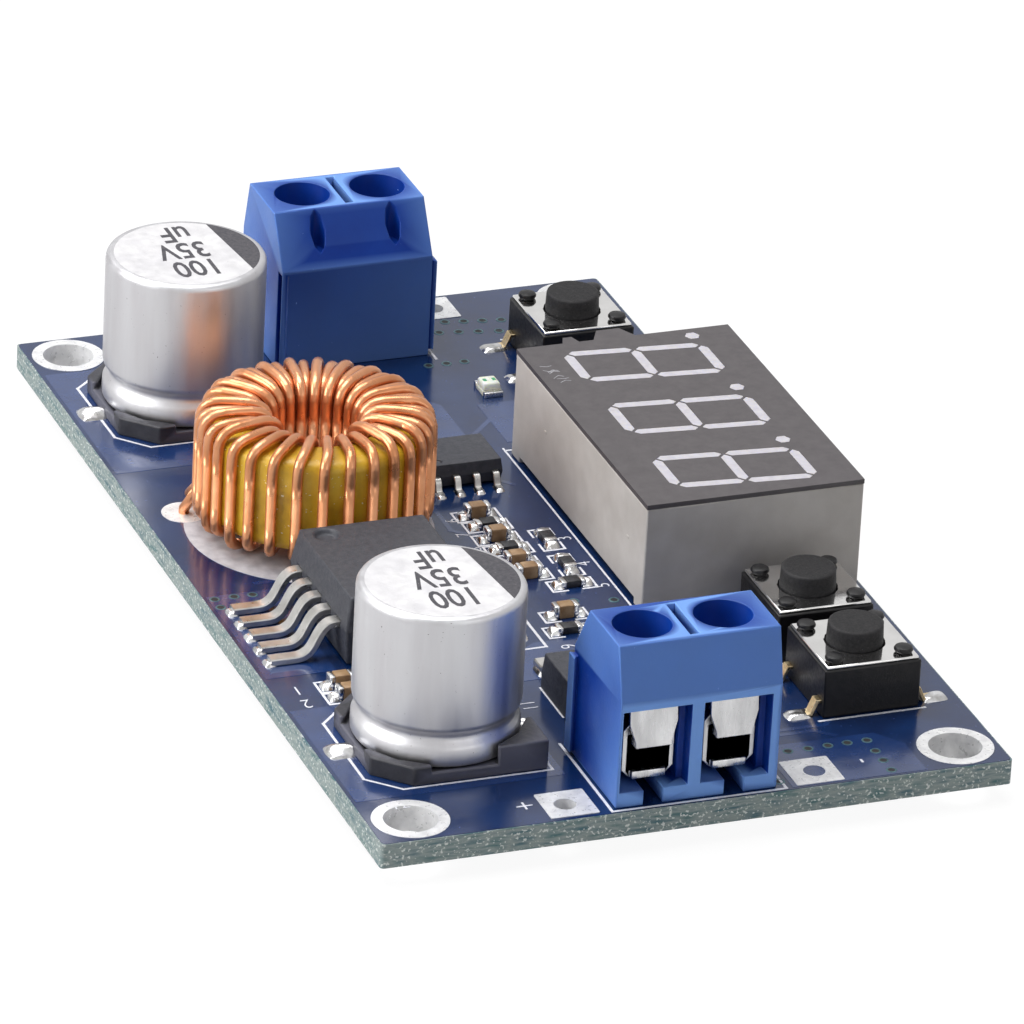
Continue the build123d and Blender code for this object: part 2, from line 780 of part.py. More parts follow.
# Push buttons: a housing riveted to its cover, a sprung button, a dome and two strips
cover_top = switch_body + cover_thickness
flange_top = switch_body - button_play
nub_end = dome_top + dome_gap + button_travel
for name, y in switch_places.items():
    seat = Plane(origin=(switch_x, y, board_top))

    with BuildPart() as switch_housing:
        with BuildSketch(seat):
            Rectangle(switch_side, switch_side)
        extrude(amount=switch_body)
        with BuildSketch(seat.offset(well_floor)):
            RegularPolygon(well_radius, 8, major_radius=False)
        extrude(amount=switch_body - well_floor, mode=Mode.SUBTRACT)
        with BuildSketch(seat.offset(contact_top - contact_thickness)):
            draw_contact_strips()
        extrude(amount=contact_thickness, mode=Mode.SUBTRACT)
        with BuildSketch(seat.offset(contact_top)):
            Rectangle(contact_width, contact_width)
        extrude(amount=contact_cover, mode=Mode.SUBTRACT)
        with BuildSketch(seat.offset(switch_body)):
            with GridLocations(rivet_spacing, rivet_spacing, 2, 2):
                Rectangle(rivet_side, rivet_side)
        extrude(amount=cover_thickness)
        with BuildSketch(seat.offset(cover_top)):
            with GridLocations(rivet_spacing, rivet_spacing, 2, 2):
                RegularPolygon(rivet_head_radius, 6)
        extrude(amount=rivet_head)
    switch_housing.part.label = f"{name}_switch_housing"
    export_step(switch_housing.part, f"parts/{name}_switch_housing.step")

    with BuildPart() as switch_cover:
        with BuildSketch(seat.offset(switch_body)):
            Rectangle(cover_side, cover_side)
            RegularPolygon(button_radius + button_gap, button_sides, mode=Mode.SUBTRACT)
            with GridLocations(rivet_spacing, rivet_spacing, 2, 2):
                rivet_hole = rivet_side + 2 * rivet_gap
                Rectangle(rivet_hole, rivet_hole, mode=Mode.SUBTRACT)
        extrude(amount=cover_thickness)
    switch_cover.part.label = f"{name}_switch_cover"
    export_step(switch_cover.part, f"parts/{name}_switch_cover.step")

    with BuildPart() as button:
        with BuildSketch(seat.offset(nub_end)):
            RegularPolygon(button_nub_radius, 6)
        extrude(amount=flange_top - button_flange - nub_end)
        with BuildSketch(seat.offset(flange_top - button_flange)):
            RegularPolygon(button_flange_radius, 8, major_radius=False)
        extrude(amount=button_flange)
        with BuildSketch(seat.offset(flange_top)):
            RegularPolygon(button_radius, button_sides)
        extrude(amount=button_top - flange_top)
    button.part.label = f"{name}_button"
    export_step(button.part, f"parts/{name}_button.step")

    with BuildPart() as switch_contacts:
        with BuildSketch(seat.offset(contact_top - contact_thickness)):
            draw_contact_strips()
        extrude(amount=contact_thickness)
        for side in (-1, 1):
            for row in (-contact_spacing / 2, contact_spacing / 2):
                edge = switch_x + side * switch_side / 2
                with BuildSketch(lead_plane(edge, y + row, (side, 0, 0))):
                    with BuildLine():
                        Polyline(
                            *lead_outline(
                                contact_shoulder,
                                contact_fall,
                                contact_foot,
                                contact_top - contact_thickness / 2,
                                contact_thickness,
                            ),
                            close=True,
                        )
                    make_face()
                extrude(amount=contact_width / 2, both=True)
    switch_contacts.part.label = f"{name}_switch_contacts"
    export_step(switch_contacts.part, f"parts/{name}_switch_contacts.step")

    with BuildPart() as dome:
        with BuildSketch(seat.offset(well_floor)):
            RegularPolygon(dome_radius, dome_sides)
        extrude(amount=dome_height, taper=dome_slope)
        with BuildSketch(seat.offset(well_floor)):
            RegularPolygon(dome_radius - dome_thickness, dome_sides)
        extrude(amount=dome_height - dome_thickness, taper=dome_slope, mode=Mode.SUBTRACT)
    dome.part.label = f"{name}_switch_dome"
    export_step(dome.part, f"parts/{name}_switch_dome.step")

# Screw terminals: housing, and in each pole a contact strip, a rising cage and its screw
for name, at in terminals.items():
    with BuildPart() as terminal_housing:
        with BuildSketch(side_plane(at)):
            with BuildLine():
                Polyline(
                    (0, 0),
                    (0, front_step),
                    (front_lean, terminal_height),
                    (terminal_depth - back_lean, terminal_height),
                    (terminal_depth, back_step),
                    (terminal_depth, 0),
                    close=True,
                )
            make_face()
        extrude(amount=terminal_width / 2, both=True)
        with BuildSketch(at.offset(terminal_rib_bottom)):
            with Locations((-terminal_width / 2, rib_centre)):
                Polygon(
                    (0, -rib_root / 2),
                    (0, rib_root / 2),
                    (-rib_reach, rib_width / 2),
                    (-rib_reach, -rib_width / 2),
                    align=None,
                )
        extrude(amount=rib_top - terminal_rib_bottom)
        with BuildSketch(at):
            with Locations((terminal_width / 2, rib_centre)):
                Polygon(
                    (0, -rib_root / 2 - rib_gap),
                    (0, rib_root / 2 + rib_gap),
                    (-rib_reach - rib_gap, rib_width / 2 + rib_gap),
                    (-rib_reach - rib_gap, -rib_width / 2 - rib_gap),
                    align=None,
                )
        extrude(amount=rib_top + rib_gap, mode=Mode.SUBTRACT)
        with BuildSketch(front_plane(at)):
            for x in poles.values():
                with Locations((x, (terminal_floor + mouth_top) / 2)):
                    Rectangle(mouth_width, mouth_top - terminal_floor)
        extrude(amount=-mouth_depth, mode=Mode.SUBTRACT)
        with BuildSketch(front_plane(at, mouth_depth)):
            for x in poles.values():
                with Locations((x, (terminal_floor + chamber_top) / 2)):
                    Rectangle(cage_width + 2 * chamber_gap, chamber_top - terminal_floor)
        extrude(amount=-(chamber_depth - mouth_depth), mode=Mode.SUBTRACT)
        with BuildSketch(front_plane(at)):
            for x in poles.values():
                with Locations((x, terminal_floor / 2)):
                    Rectangle(floor_slot, terminal_floor)
        extrude(amount=-(pin_depth + strip_thickness + pin_clearance), mode=Mode.SUBTRACT)
        with BuildSketch(front_plane(at, chamber_depth)):
            for x in poles.values():
                with Locations((x, (terminal_floor + leaf_top) / 2)):
                    Rectangle(pin_width, leaf_top - terminal_floor)
                with Locations((x, (leaf_bottom + leaf_top) / 2)):
                    Rectangle(leaf_width, strip_thickness)
        extrude(amount=-(pin_depth + strip_thickness - chamber_depth), mode=Mode.SUBTRACT)
        with BuildSketch(at.offset(chamber_top)):
            for x in poles.values():
                with Locations((x, screw_depth)):
                    RegularPolygon(screw_radius + screw_clearance, 8, major_radius=False)
        extrude(amount=ledge, mode=Mode.SUBTRACT)
        with BuildSketch(at.offset(screw_seat)):
            for x in poles.values():
                with Locations((x, screw_depth)):
                    Circle(driver_hole_radius)
        extrude(amount=terminal_height - screw_seat, mode=Mode.SUBTRACT)
        with BuildSketch(at.offset(terminal_height - key_slot_depth)):
            with Locations((pole_shift, screw_depth)):
                Rectangle(key_slot_width, key_slot_length)
        extrude(amount=key_slot_depth, mode=Mode.SUBTRACT)
        with BuildSketch(at.offset(sight_floor)):
            for x in poles.values():
                with Locations((x, sight_centre)):
                    Polygon(
                        (sight_width / 2, 0),
                        (sight_width / 3, sight_length / 3),
                        (0, sight_length / 2),
                        (-sight_width / 3, sight_length / 3),
                        (-sight_width / 2, 0),
                        (-sight_width / 3, -sight_length / 3),
                        (0, -sight_length / 2),
                        (sight_width / 3, -sight_length / 3),
                        align=None,
                    )
        extrude(amount=terminal_height - sight_floor, mode=Mode.SUBTRACT)
    terminal_housing.part.label = f"{name}_terminal_housing"
    export_step(terminal_housing.part, f"parts/{name}_terminal_housing.step")

    with BuildPart() as terminal_contacts:
        for x in poles.values():
            with BuildSketch(side_plane(at, x)):
                with BuildLine():
                    Polyline(
                        (flap_front, leaf_bottom),
                        (flap_front + flap_lean, flap_top),
                        (flap_front + flap_lean + strip_thickness, flap_top),
                        (flap_front + strip_thickness, leaf_top),
                        (pin_depth + strip_thickness, leaf_top),
                        (pin_depth + strip_thickness, -board_top),
                        (pin_depth, -board_top),
                        (pin_depth, leaf_bottom),
                        close=True,
                    )
                make_face()
            extrude(amount=flap_width / 2, both=True)
        with BuildSketch(front_plane(at)):
            for x in poles.values():
                with Locations((x, 0)):
                    Polygon(
                        (-flap_width / 2, flap_top),
                        (-flap_width / 2, flap_top - flap_shoulder),
                        (-leaf_width / 2, leaf_top),
                        (-leaf_width / 2, leaf_bottom),
                        (-pin_width / 2, leaf_bottom),
                        (-pin_width / 2, -board_top),
                        (pin_width / 2, -board_top),
                        (pin_width / 2, leaf_bottom),
                        (leaf_width / 2, leaf_bottom),
                        (leaf_width / 2, leaf_top),
                        (flap_width / 2, flap_top - flap_shoulder),
                        (flap_width / 2, flap_top),
                        align=None,
                    )
        extrude(amount=-terminal_depth, mode=Mode.INTERSECT)
    terminal_contacts.part.label = f"{name}_terminal_contacts"
    export_step(terminal_contacts.part, f"parts/{name}_terminal_contacts.step")

    for side, x in poles.items():
        with BuildPart() as cage:
            with BuildSketch(front_plane(at, cage_front)):
                with Locations((x, (cage_bottom + cage_top) / 2)):
                    frame = Rectangle(cage_width, cage_top - cage_bottom)
                chamfer(frame.vertices().group_by(Axis.Z)[0], cage_corner)
                inside_bottom = cage_bottom + cage_floor
                inside_top = cage_top - cage_bridge
                with Locations((x, (inside_bottom + inside_top) / 2)):
                    Rectangle(
                        cage_width - 2 * cage_wall, inside_top - inside_bottom, mode=Mode.SUBTRACT
                    )
            extrude(amount=-cage_depth)
            with BuildSketch(front_plane(at, cage_front)):
                with Locations((x, cage_bottom + cage_floor / 2)):
                    Rectangle(cage_tongue_width, cage_floor)
            extrude(amount=cage_tongue)
            with BuildSketch(at.offset(cage_top - cage_bridge)):
                with Locations((x, screw_depth)):
                    RegularPolygon(screw_radius + screw_clearance, 8, major_radius=False)
            extrude(amount=cage_bridge, mode=Mode.SUBTRACT)
        cage.part.label = f"{name}_{side}_cage"
        export_step(cage.part, f"parts/{name}_{side}_cage.step")

        with BuildPart() as screw:
            with BuildSketch(at.offset(screw_seat + screw_gap)):
                with Locations((x, screw_depth)):
                    RegularPolygon(screw_head_radius, 12)
            extrude(amount=screw_head)
            with BuildSketch(at.offset(screw_seat + screw_gap + screw_head)):
                with Locations((x, screw_depth)):
                    Rectangle(driver_slot_width, 2 * screw_head_radius)
            extrude(amount=-driver_slot_depth, mode=Mode.SUBTRACT)
            with BuildSketch(at.offset(leaf_top + bridge_gap)):
                with Locations((x, screw_depth)):
                    RegularPolygon(screw_radius, 8)
            extrude(amount=screw_seat + screw_gap - leaf_top - bridge_gap)
        screw.part.label = f"{name}_{side}_screw"
        export_step(screw.part, f"parts/{name}_{side}_screw.step")


# Small chip parts lie along X, upright ones along Y
def chip_places(flat, upright=()):
    places = [Location((x, y, board_top)) for x, y in flat]
    return places + [Location((x, y, board_top), (0, 0, 90)) for x, y in upright]


chip_kinds = {
    "chip_capacitor": (
        chip_places(capacitor_places + filter_capacitor_places),
        capacitor_height,
    ),
    "chip_resistor": (chip_places(resistor_places, upright_resistor_places), resistor_height),
}
for name, (places, height) in chip_kinds.items():
    with BuildPart() as small_bodies:
        with Locations(*places):
            Box(
                part_length - 2 * end_length,
                part_width,
                height,
                align=(Align.CENTER, Align.CENTER, Align.MIN),
            )
    small_bodies.part.label = f"{name}_bodies"
    export_step(small_bodies.part, f"parts/{name}_bodies.step")

    with BuildPart() as small_ends:
        with Locations(*places):
            with GridLocations(part_length - end_length, 0, 2, 1):
                Box(end_length, part_width, height, align=(Align.CENTER, Align.CENTER, Align.MIN))
    small_ends.part.label = f"{name}_ends"
    export_step(small_ends.part, f"parts/{name}_ends.step")

# Indicator light
light = Plane(origin=(light_x, light_y, board_top))
with BuildPart() as light_body:
    with BuildSketch(light):
        Rectangle(light_width, light_length - 2 * end_length)
    extrude(amount=light_base)
light_body.part.label = "indicator_base"
export_step(light_body.part, "parts/indicator_base.step")

with BuildPart() as light_ends:
    with BuildSketch(light):
        with GridLocations(0, light_length - end_length, 1, 2):
            Rectangle(light_width, end_length)
    extrude(amount=light_base)
light_ends.part.label = "indicator_ends"
export_step(light_ends.part, "parts/indicator_ends.step")

with BuildPart() as light_lens:
    with BuildSketch(light.offset(light_base)):
        Rectangle(light_width, light_length - 2 * end_length)
    extrude(amount=light_height - light_base, taper=light_draft)
light_lens.part.label = "indicator_lens"
export_step(light_lens.part, "parts/indicator_lens.step")
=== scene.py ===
import json
import random
from math import cos, hypot, pi, radians, sin

import bmesh
import bpy
from mathutils import Matrix, Vector

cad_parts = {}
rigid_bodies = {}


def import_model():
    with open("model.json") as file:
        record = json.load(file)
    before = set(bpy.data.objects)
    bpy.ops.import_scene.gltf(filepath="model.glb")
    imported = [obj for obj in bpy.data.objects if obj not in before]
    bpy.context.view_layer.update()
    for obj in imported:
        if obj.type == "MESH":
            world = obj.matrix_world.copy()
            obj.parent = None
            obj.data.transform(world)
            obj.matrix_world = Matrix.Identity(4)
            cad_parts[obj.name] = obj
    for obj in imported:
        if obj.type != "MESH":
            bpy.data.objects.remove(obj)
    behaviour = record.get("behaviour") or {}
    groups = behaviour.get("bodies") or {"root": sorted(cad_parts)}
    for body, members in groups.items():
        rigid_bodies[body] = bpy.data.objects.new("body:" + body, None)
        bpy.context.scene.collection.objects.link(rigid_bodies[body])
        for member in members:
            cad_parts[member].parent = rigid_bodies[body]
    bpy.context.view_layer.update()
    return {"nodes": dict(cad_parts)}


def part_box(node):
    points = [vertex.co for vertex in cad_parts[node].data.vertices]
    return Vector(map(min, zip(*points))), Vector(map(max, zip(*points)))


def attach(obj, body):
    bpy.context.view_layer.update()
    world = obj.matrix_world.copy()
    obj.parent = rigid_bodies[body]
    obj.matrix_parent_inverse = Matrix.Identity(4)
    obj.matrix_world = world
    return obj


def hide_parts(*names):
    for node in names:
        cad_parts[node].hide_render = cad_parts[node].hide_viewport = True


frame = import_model()
nodes = frame["nodes"]
scene = bpy.context.scene
mm = 0.001
boardTop = 2.8
chance = random.Random(11)
print("frame loaded")


# Materials: each one is built from procedural nodes on object coordinates
def makeNoise(tree, scale, detail=4.0, stretch=(1, 1, 1)):
    coordinates = tree.nodes.new("ShaderNodeTexCoord")
    mapping = tree.nodes.new("ShaderNodeMapping")
    mapping.inputs["Scale"].default_value = [1000 * amount for amount in stretch]
    texture = tree.nodes.new("ShaderNodeTexNoise")
    texture.inputs["Scale"].default_value = scale
    texture.inputs["Detail"].default_value = detail
    tree.links.new(coordinates.outputs["Object"], mapping.inputs["Vector"])
    tree.links.new(mapping.outputs["Vector"], texture.inputs["Vector"])
    return texture.outputs[0]


def makeRamp(tree, factor, stops):
    ramp = tree.nodes.new("ShaderNodeValToRGB")
    while len(ramp.color_ramp.elements) < len(stops):
        ramp.color_ramp.elements.new(0.5)
    for element, (place, colour) in zip(ramp.color_ramp.elements, stops):
        element.position = place
        element.color = (*colour, 1)
    tree.links.new(factor, ramp.inputs["Fac"])
    return ramp.outputs["Color"]


def makeRange(tree, factor, low, high, toLow, toHigh):
    mapped = tree.nodes.new("ShaderNodeMapRange")
    for socket, amount in zip(("From Min", "From Max", "To Min", "To Max"), (low, high, toLow, toHigh)):
        mapped.inputs[socket].default_value = amount
    tree.links.new(factor, mapped.inputs["Value"])
    return mapped.outputs["Result"]


def mixColour(tree, factor, first, second):
    mix = tree.nodes.new("ShaderNodeMix")
    mix.data_type = "RGBA"
    tree.links.new(factor, mix.inputs["Factor"])
    for socket, colour in ((mix.inputs[6], first), (mix.inputs[7], second)):
        if isinstance(colour, tuple):
            socket.default_value = (*colour, 1)
        else:
            tree.links.new(colour, socket)
    return mix.outputs[2]


def makeLook(name, stops, scale, rough, metallic=0.0, grain=(3, 0.1), stretch=(1, 1, 1), **extra):
    look = bpy.data.materials.new(name)
    look.use_nodes = True
    tree = look.node_tree
    shader = tree.nodes["Principled BSDF"]
    colour = makeRamp(tree, makeNoise(tree, scale, 5.0, stretch), stops)
    for speckScale, threshold, speck in extra.get("specks", ()):
        dots = makeNoise(tree, speckScale, 2.0)
        amount = makeRange(tree, dots, threshold, threshold + 0.03, 0, 1)
        colour = mixColour(tree, amount, colour, speck)
    # A lighter colour mixed in on convex edges, found from Pointiness
    if "edge" in extra:
        geometry = tree.nodes.new("ShaderNodeNewGeometry")
        low, high, edgeColour = extra["edge"]
        amount = makeRange(tree, geometry.outputs["Pointiness"], low, high, 0, 1)
        colour = mixColour(tree, amount, colour, edgeColour)
    tree.links.new(colour, shader.inputs["Base Color"])
    shader.inputs["Metallic"].default_value = metallic
    gloss = makeRange(tree, makeNoise(tree, scale * 2.3, 4.0, stretch), 0.3, 0.7, rough[0], rough[1])
    tree.links.new(gloss, shader.inputs["Roughness"])
    bump = tree.nodes.new("ShaderNodeBump")
    bump.inputs["Strength"].default_value = grain[1]
    bump.inputs["Distance"].default_value = extra.get("depth", 0.00003)
    tree.links.new(makeNoise(tree, grain[0], 3.0, stretch), bump.inputs["Height"])
    tree.links.new(bump.outputs["Normal"], shader.inputs["Normal"])
    shader.inputs["Coat Weight"].default_value = extra.get("coat", 0.0)
    shader.inputs["Coat Roughness"].default_value = extra.get("coatRough", 0.1)
    shader.inputs["Subsurface Weight"].default_value = extra.get("glow", 0.0)
    shader.inputs["Subsurface Radius"].default_value = (0.3, 0.4, 1.0)
    shader.inputs["Subsurface Scale"].default_value = 0.0006
    shader.inputs["IOR"].default_value = 1.5
    shader.inputs["Specular IOR Level"].default_value = extra.get("shine", 0.5)
    return look


def twoTone(low, high, a=0.35, b=0.65):
    return ((a, low), (b, high))


maskLook = makeLook("solderMask", twoTone((0.003, 0.017, 0.075), (0.005, 0.026, 0.105)), 0.35, (0.16, 0.26),
                    grain=(0.8, 0.35), depth=0.00004, coat=0.4, coatRough=0.12,
                    specks=((6, 0.72, (0.05, 0.08, 0.25)),))
pourLook = makeLook("maskOverCopper", twoTone((0.006, 0.028, 0.120), (0.009, 0.040, 0.160)), 0.4, (0.18, 0.3),
                    grain=(0.9, 0.4), depth=0.00005, coat=0.8, coatRough=0.12)
glassLook = makeLook("glassLaminate", ((0.3, (0.06, 0.15, 0.16)), (0.5, (0.28, 0.33, 0.32)), (0.7, (0.05, 0.13, 0.16))),
                     0.5, (0.45, 0.7), grain=(6, 0.6), stretch=(1, 1, 6), specks=((5, 0.60, (0.62, 0.66, 0.64)),))
tinPadLook = makeLook("tinPad", twoTone((0.74, 0.74, 0.75), (0.92, 0.92, 0.92)), 1.4, (0.24, 0.42), 0.3,
                      grain=(1.6, 0.5), depth=0.00008)
solderLook = makeLook("solder", twoTone((0.42, 0.41, 0.40), (0.80, 0.80, 0.81)), 1.2, (0.14, 0.3), 1.0,
                      grain=(1.3, 0.4), depth=0.00008)
inkLook = makeLook("whiteInk", twoTone((0.72, 0.73, 0.78), (0.88, 0.88, 0.92)), 4, (0.5, 0.7), grain=(14, 0.4))
viaRingLook = makeLook("viaRing", twoTone((0.04, 0.10, 0.13), (0.10, 0.20, 0.22)), 3, (0.3, 0.5), 0.3)
# Painted shade: a near-black colour for the via bores, which are flat discs and not holes
boreShadeLook = makeLook("paintedBoreShade", twoTone((0.004, 0.004, 0.006), (0.010, 0.010, 0.014)), 3, (0.5, 0.8))
canLook = makeLook("drawnAluminium", twoTone((0.58, 0.57, 0.59), (0.66, 0.66, 0.68)), 0.5, (0.36, 0.48), 1.0,
                   grain=(5, 0.25), stretch=(1, 1, 0.12), specks=((7, 0.735, (0.16, 0.15, 0.15)),))
canTopLook = makeLook("canTop", twoTone((0.70, 0.69, 0.71), (0.80, 0.79, 0.80)), 0.8, (0.4, 0.55), 0.55,
                      grain=(9, 0.3), specks=((11, 0.72, (0.42, 0.40, 0.42)),))
printLook = makeLook("darkPrint", twoTone((0.035, 0.034, 0.045), (0.07, 0.065, 0.075)), 4, (0.35, 0.55),
                     specks=((10, 0.72, (0.35, 0.33, 0.35)),))
basePlasticLook = makeLook("baseMoulding", twoTone((0.012, 0.012, 0.016), (0.026, 0.026, 0.032)), 1.5, (0.35, 0.55),
                           grain=(6, 0.4), edge=(0.53, 0.62, (0.10, 0.10, 0.13)))
coreLook = makeLook("corePaint", ((0.3, (0.50, 0.29, 0.015)), (0.5, (0.68, 0.42, 0.02)), (0.7, (0.78, 0.52, 0.04))),
                    0.6, (0.3, 0.5), grain=(2.5, 0.5), depth=0.00006,
                    specks=((3.5, 0.70, (0.95, 0.86, 0.55)), (8, 0.75, (0.35, 0.20, 0.03))))
wireLook = makeLook("enamelledCopper", twoTone((0.60, 0.24, 0.10), (0.74, 0.34, 0.17)), 0.5, (0.26, 0.36), 0.8,
                    grain=(2, 0.06), coat=0.35, specks=((5, 0.77, (0.30, 0.10, 0.04)),))
packageLook = makeLook("packageEpoxy", twoTone((0.028, 0.030, 0.040), (0.048, 0.050, 0.062)), 2.5, (0.45, 0.6),
                       grain=(12, 0.6), depth=0.00003, specks=((14, 0.71, (0.13, 0.13, 0.15)),))
leadLook = makeLook("tinnedLead", twoTone((0.50, 0.49, 0.47), (0.66, 0.65, 0.63)), 0.9, (0.26, 0.38), 0.95,
                    grain=(4, 0.08), specks=((3, 0.76, (0.40, 0.34, 0.28)),))
tanLeadLook = makeLook("switchLead", twoTone((0.60, 0.45, 0.25), (0.80, 0.66, 0.42)), 1.6, (0.25, 0.4), 1.0,
                       grain=(5, 0.4))
shellLook = makeLook("meterShell", twoTone((0.50, 0.47, 0.44), (0.57, 0.54, 0.51)), 0.5, (0.5, 0.65),
                     grain=(12, 0.35), specks=((7, 0.765, (0.25, 0.23, 0.21)), (9, 0.77, (0.8, 0.78, 0.75))))
meterFaceLook = makeLook("meterFace", twoTone((0.070, 0.062, 0.066), (0.085, 0.076, 0.080)), 1.0, (0.42, 0.52),
                         grain=(16, 0.3), specks=((16, 0.73, (0.2, 0.19, 0.2)),))
segmentLook = makeLook("segmentResin", twoTone((0.53, 0.51, 0.56), (0.60, 0.58, 0.63)), 2, (0.3, 0.45),
                       grain=(8, 0.2), glow=0.15)
buttonLook = makeLook("buttonPlastic", twoTone((0.007, 0.007, 0.008), (0.016, 0.015, 0.016)), 5, (0.55, 0.75),
                      grain=(12, 0.6), shine=0.3, specks=((12, 0.70, (0.07, 0.066, 0.07)),),
                      edge=(0.52, 0.6, (0.05, 0.048, 0.05)))
housingLook = makeLook("switchMoulding", twoTone((0.005, 0.005, 0.006), (0.011, 0.010, 0.011)), 2, (0.3, 0.48),
                       grain=(8, 0.3), shine=0.35)
coverLook = makeLook("polishedSteel", twoTone((0.82, 0.81, 0.80), (0.90, 0.89, 0.88)), 0.7, (0.05, 0.13), 1.0,
                     grain=(1.2, 0.12), specks=((7, 0.76, (0.45, 0.42, 0.38)),))
terminalLook = makeLook("terminalPlastic", twoTone((0.002, 0.030, 0.25), (0.003, 0.042, 0.31)), 0.3, (0.34, 0.46),
                        grain=(6, 0.3), glow=0.10, shine=0.2, edge=(0.515, 0.61, (0.18, 0.36, 0.80)),
                        specks=((4, 0.775, (0.25, 0.4, 0.8)),))
steelLook = makeLook("zincSteel", twoTone((0.55, 0.55, 0.56), (0.78, 0.78, 0.79)), 1.2, (0.2, 0.36), 1.0,
                     grain=(5, 0.4), stretch=(1, 1, 0.2))
ceramicLook = makeLook("ceramic", twoTone((0.26, 0.15, 0.07), (0.40, 0.26, 0.14)), 1.5, (0.3, 0.5), grain=(8, 0.3))
capEndLook = makeLook("silverEnd", twoTone((0.62, 0.62, 0.62), (0.88, 0.88, 0.88)), 2, (0.14, 0.3), 1.0, grain=(4, 0.5))
resistorLook = makeLook("resistorCoat", twoTone((0.012, 0.013, 0.016), (0.03, 0.03, 0.036)), 3, (0.25, 0.45),
                        grain=(8, 0.3))
lampLook = makeLook("lampResin", twoTone((0.78, 0.80, 0.70), (0.86, 0.87, 0.80)), 2, (0.2, 0.35),
                    grain=(6, 0.2), glow=0.3)
markLook = makeLook("greenMark", twoTone((0.05, 0.30, 0.12), (0.08, 0.40, 0.18)), 4, (0.4, 0.6))
padGreyLook = makeLook("greyDisc", twoTone((0.42, 0.42, 0.46), (0.60, 0.60, 0.64)), 1.1, (0.5, 0.7), grain=(5, 0.4))
print("materials made")


# Mesh helpers: millimetres in, metres out
def newObject(name, mesh):
    made = bpy.data.objects.new(name, mesh)
    scene.collection.objects.link(made)
    return made


def frozenMesh(source):
    bpy.context.view_layer.update()
    graph = bpy.context.evaluated_depsgraph_get()
    return bpy.data.meshes.new_from_object(source.evaluated_get(graph))


def buildMesh(name, points, faces, smooth=None):
    mesh = bpy.data.meshes.new(name)
    mesh.from_pydata([[mm * c for c in p] for p in points], [], faces)
    if smooth is not None:
        mesh.shade_smooth()
        mesh.set_sharp_from_angle(angle=radians(smooth))
    return mesh


def platedMesh(loops, low, high):
    curve = bpy.data.curves.new("plate", "CURVE")
    curve.dimensions = "2D"
    curve.fill_mode = "BOTH"
    curve.extrude = mm * (high - low) / 2
    for loop in loops:
        spline = curve.splines.new("POLY")
        spline.points.add(len(loop) - 1)
        spline.use_cyclic_u = True
        for point, (x, y) in zip(spline.points, loop):
            point.co = (mm * x, mm * y, 0, 1)
    holder = newObject("plate", curve)
    mesh = frozenMesh(holder)
    bpy.data.objects.remove(holder)
    mesh.transform(Matrix.Translation((0, 0, mm * (low + high) / 2)))
    return mesh


def latheMesh(profile, sides, centre=(0, 0, 0), smooth=40):
    cx, cy, cz = centre
    points, faces, rings = [], [], []
    for radius, height in profile:
        if radius < 1e-6:
            rings.append([len(points)] * sides)
            points.append((cx, cy, cz + height))
            continue
        rings.append(list(range(len(points), len(points) + sides)))
        for k in range(sides):
            turn = 2 * pi * k / sides
            points.append((cx + radius * cos(turn), cy + radius * sin(turn), cz + height))
    for lower, upper in zip(rings, rings[1:]):
        for k in range(sides):
            corners = (lower[k], lower[(k + 1) % sides], upper[(k + 1) % sides], upper[k])
            faces.append(list(dict.fromkeys(corners)))
    return buildMesh("turned", points, [face for face in faces if len(face) > 2], smooth)


def textMesh(words, size, x, y, turn, height=boardTop, thick=0.02, thin=-0.012, squeeze=0.86):
    curve = bpy.data.curves.new("words", "FONT")
    curve.body = words
    curve.size = mm * size
    curve.align_x = "CENTER"
    curve.align_y = "CENTER"
    curve.extrude = mm * thick / 2
    curve.offset = mm * size * thin
    curve.resolution_u = 3
    holder = newObject("words", curve)
    mesh = frozenMesh(holder)
    bpy.data.objects.remove(holder)
    place = Matrix.Translation((mm * x, mm * y, mm * (height + thick / 2))) @ Matrix.Rotation(radians(turn), 4, "Z")
    mesh.transform(place @ Matrix.Diagonal((squeeze, 1, 1, 1)))
    return mesh


def strokeMesh(points, width=0.17, low=boardTop, thick=0.02, closed=False):
    corners, faces = [], []
    ends = list(zip(points, points[1:] + points[:1])) if closed else list(zip(points, points[1:]))
    for index, ((ax, ay), (bx, by)) in enumerate(ends):
        length = hypot(bx - ax, by - ay)
        ux, uy = (bx - ax) / length * width / 2, (by - ay) / length * width / 2
        top = low + thick + 0.001 * (index % 3)
        first = len(corners)
        for height in (low, top):
            corners += [(ax - ux + uy, ay - uy - ux, height), (bx + ux + uy, by + uy - ux, height),
                        (bx + ux - uy, by + uy + ux, height), (ax - ux - uy, ay - uy + ux, height)]
        for face in ((4, 5, 6, 7), (0, 1, 5, 4), (1, 2, 6, 5), (2, 3, 7, 6), (3, 0, 4, 7)):
            faces.append([first + k for k in face])
    return buildMesh("strokes", corners, faces)


def lumpMesh(x, y, width, length, height, seed, low=boardTop, steps=12, rough=0.25, power=4):
    lumps = random.Random(seed)
    waves = [(lumps.uniform(1, 5), lumps.uniform(1, 5), lumps.uniform(0, 6)) for _ in range(4)]
    points, faces = [], []
    for j in range(steps + 1):
        for i in range(steps + 1):
            u, v = 2 * i / steps - 1, 2 * j / steps - 1
            swell = (1 - abs(u) ** power) * (1 - abs(v) ** power)
            wave = sum(sin(a * u + b * v + c) for a, b, c in waves) / 4
            trim = 1 - 0.12 * u * u * v * v
            points.append((x + width / 2 * u * trim, y + length / 2 * v * trim,
                           low + height * swell * (1 + rough * wave)))
    for j in range(steps):
        for i in range(steps):
            k = j * (steps + 1) + i
            faces.append((k, k + 1, k + steps + 2, k + steps + 1))
    return buildMesh("lump", points, faces, 80)


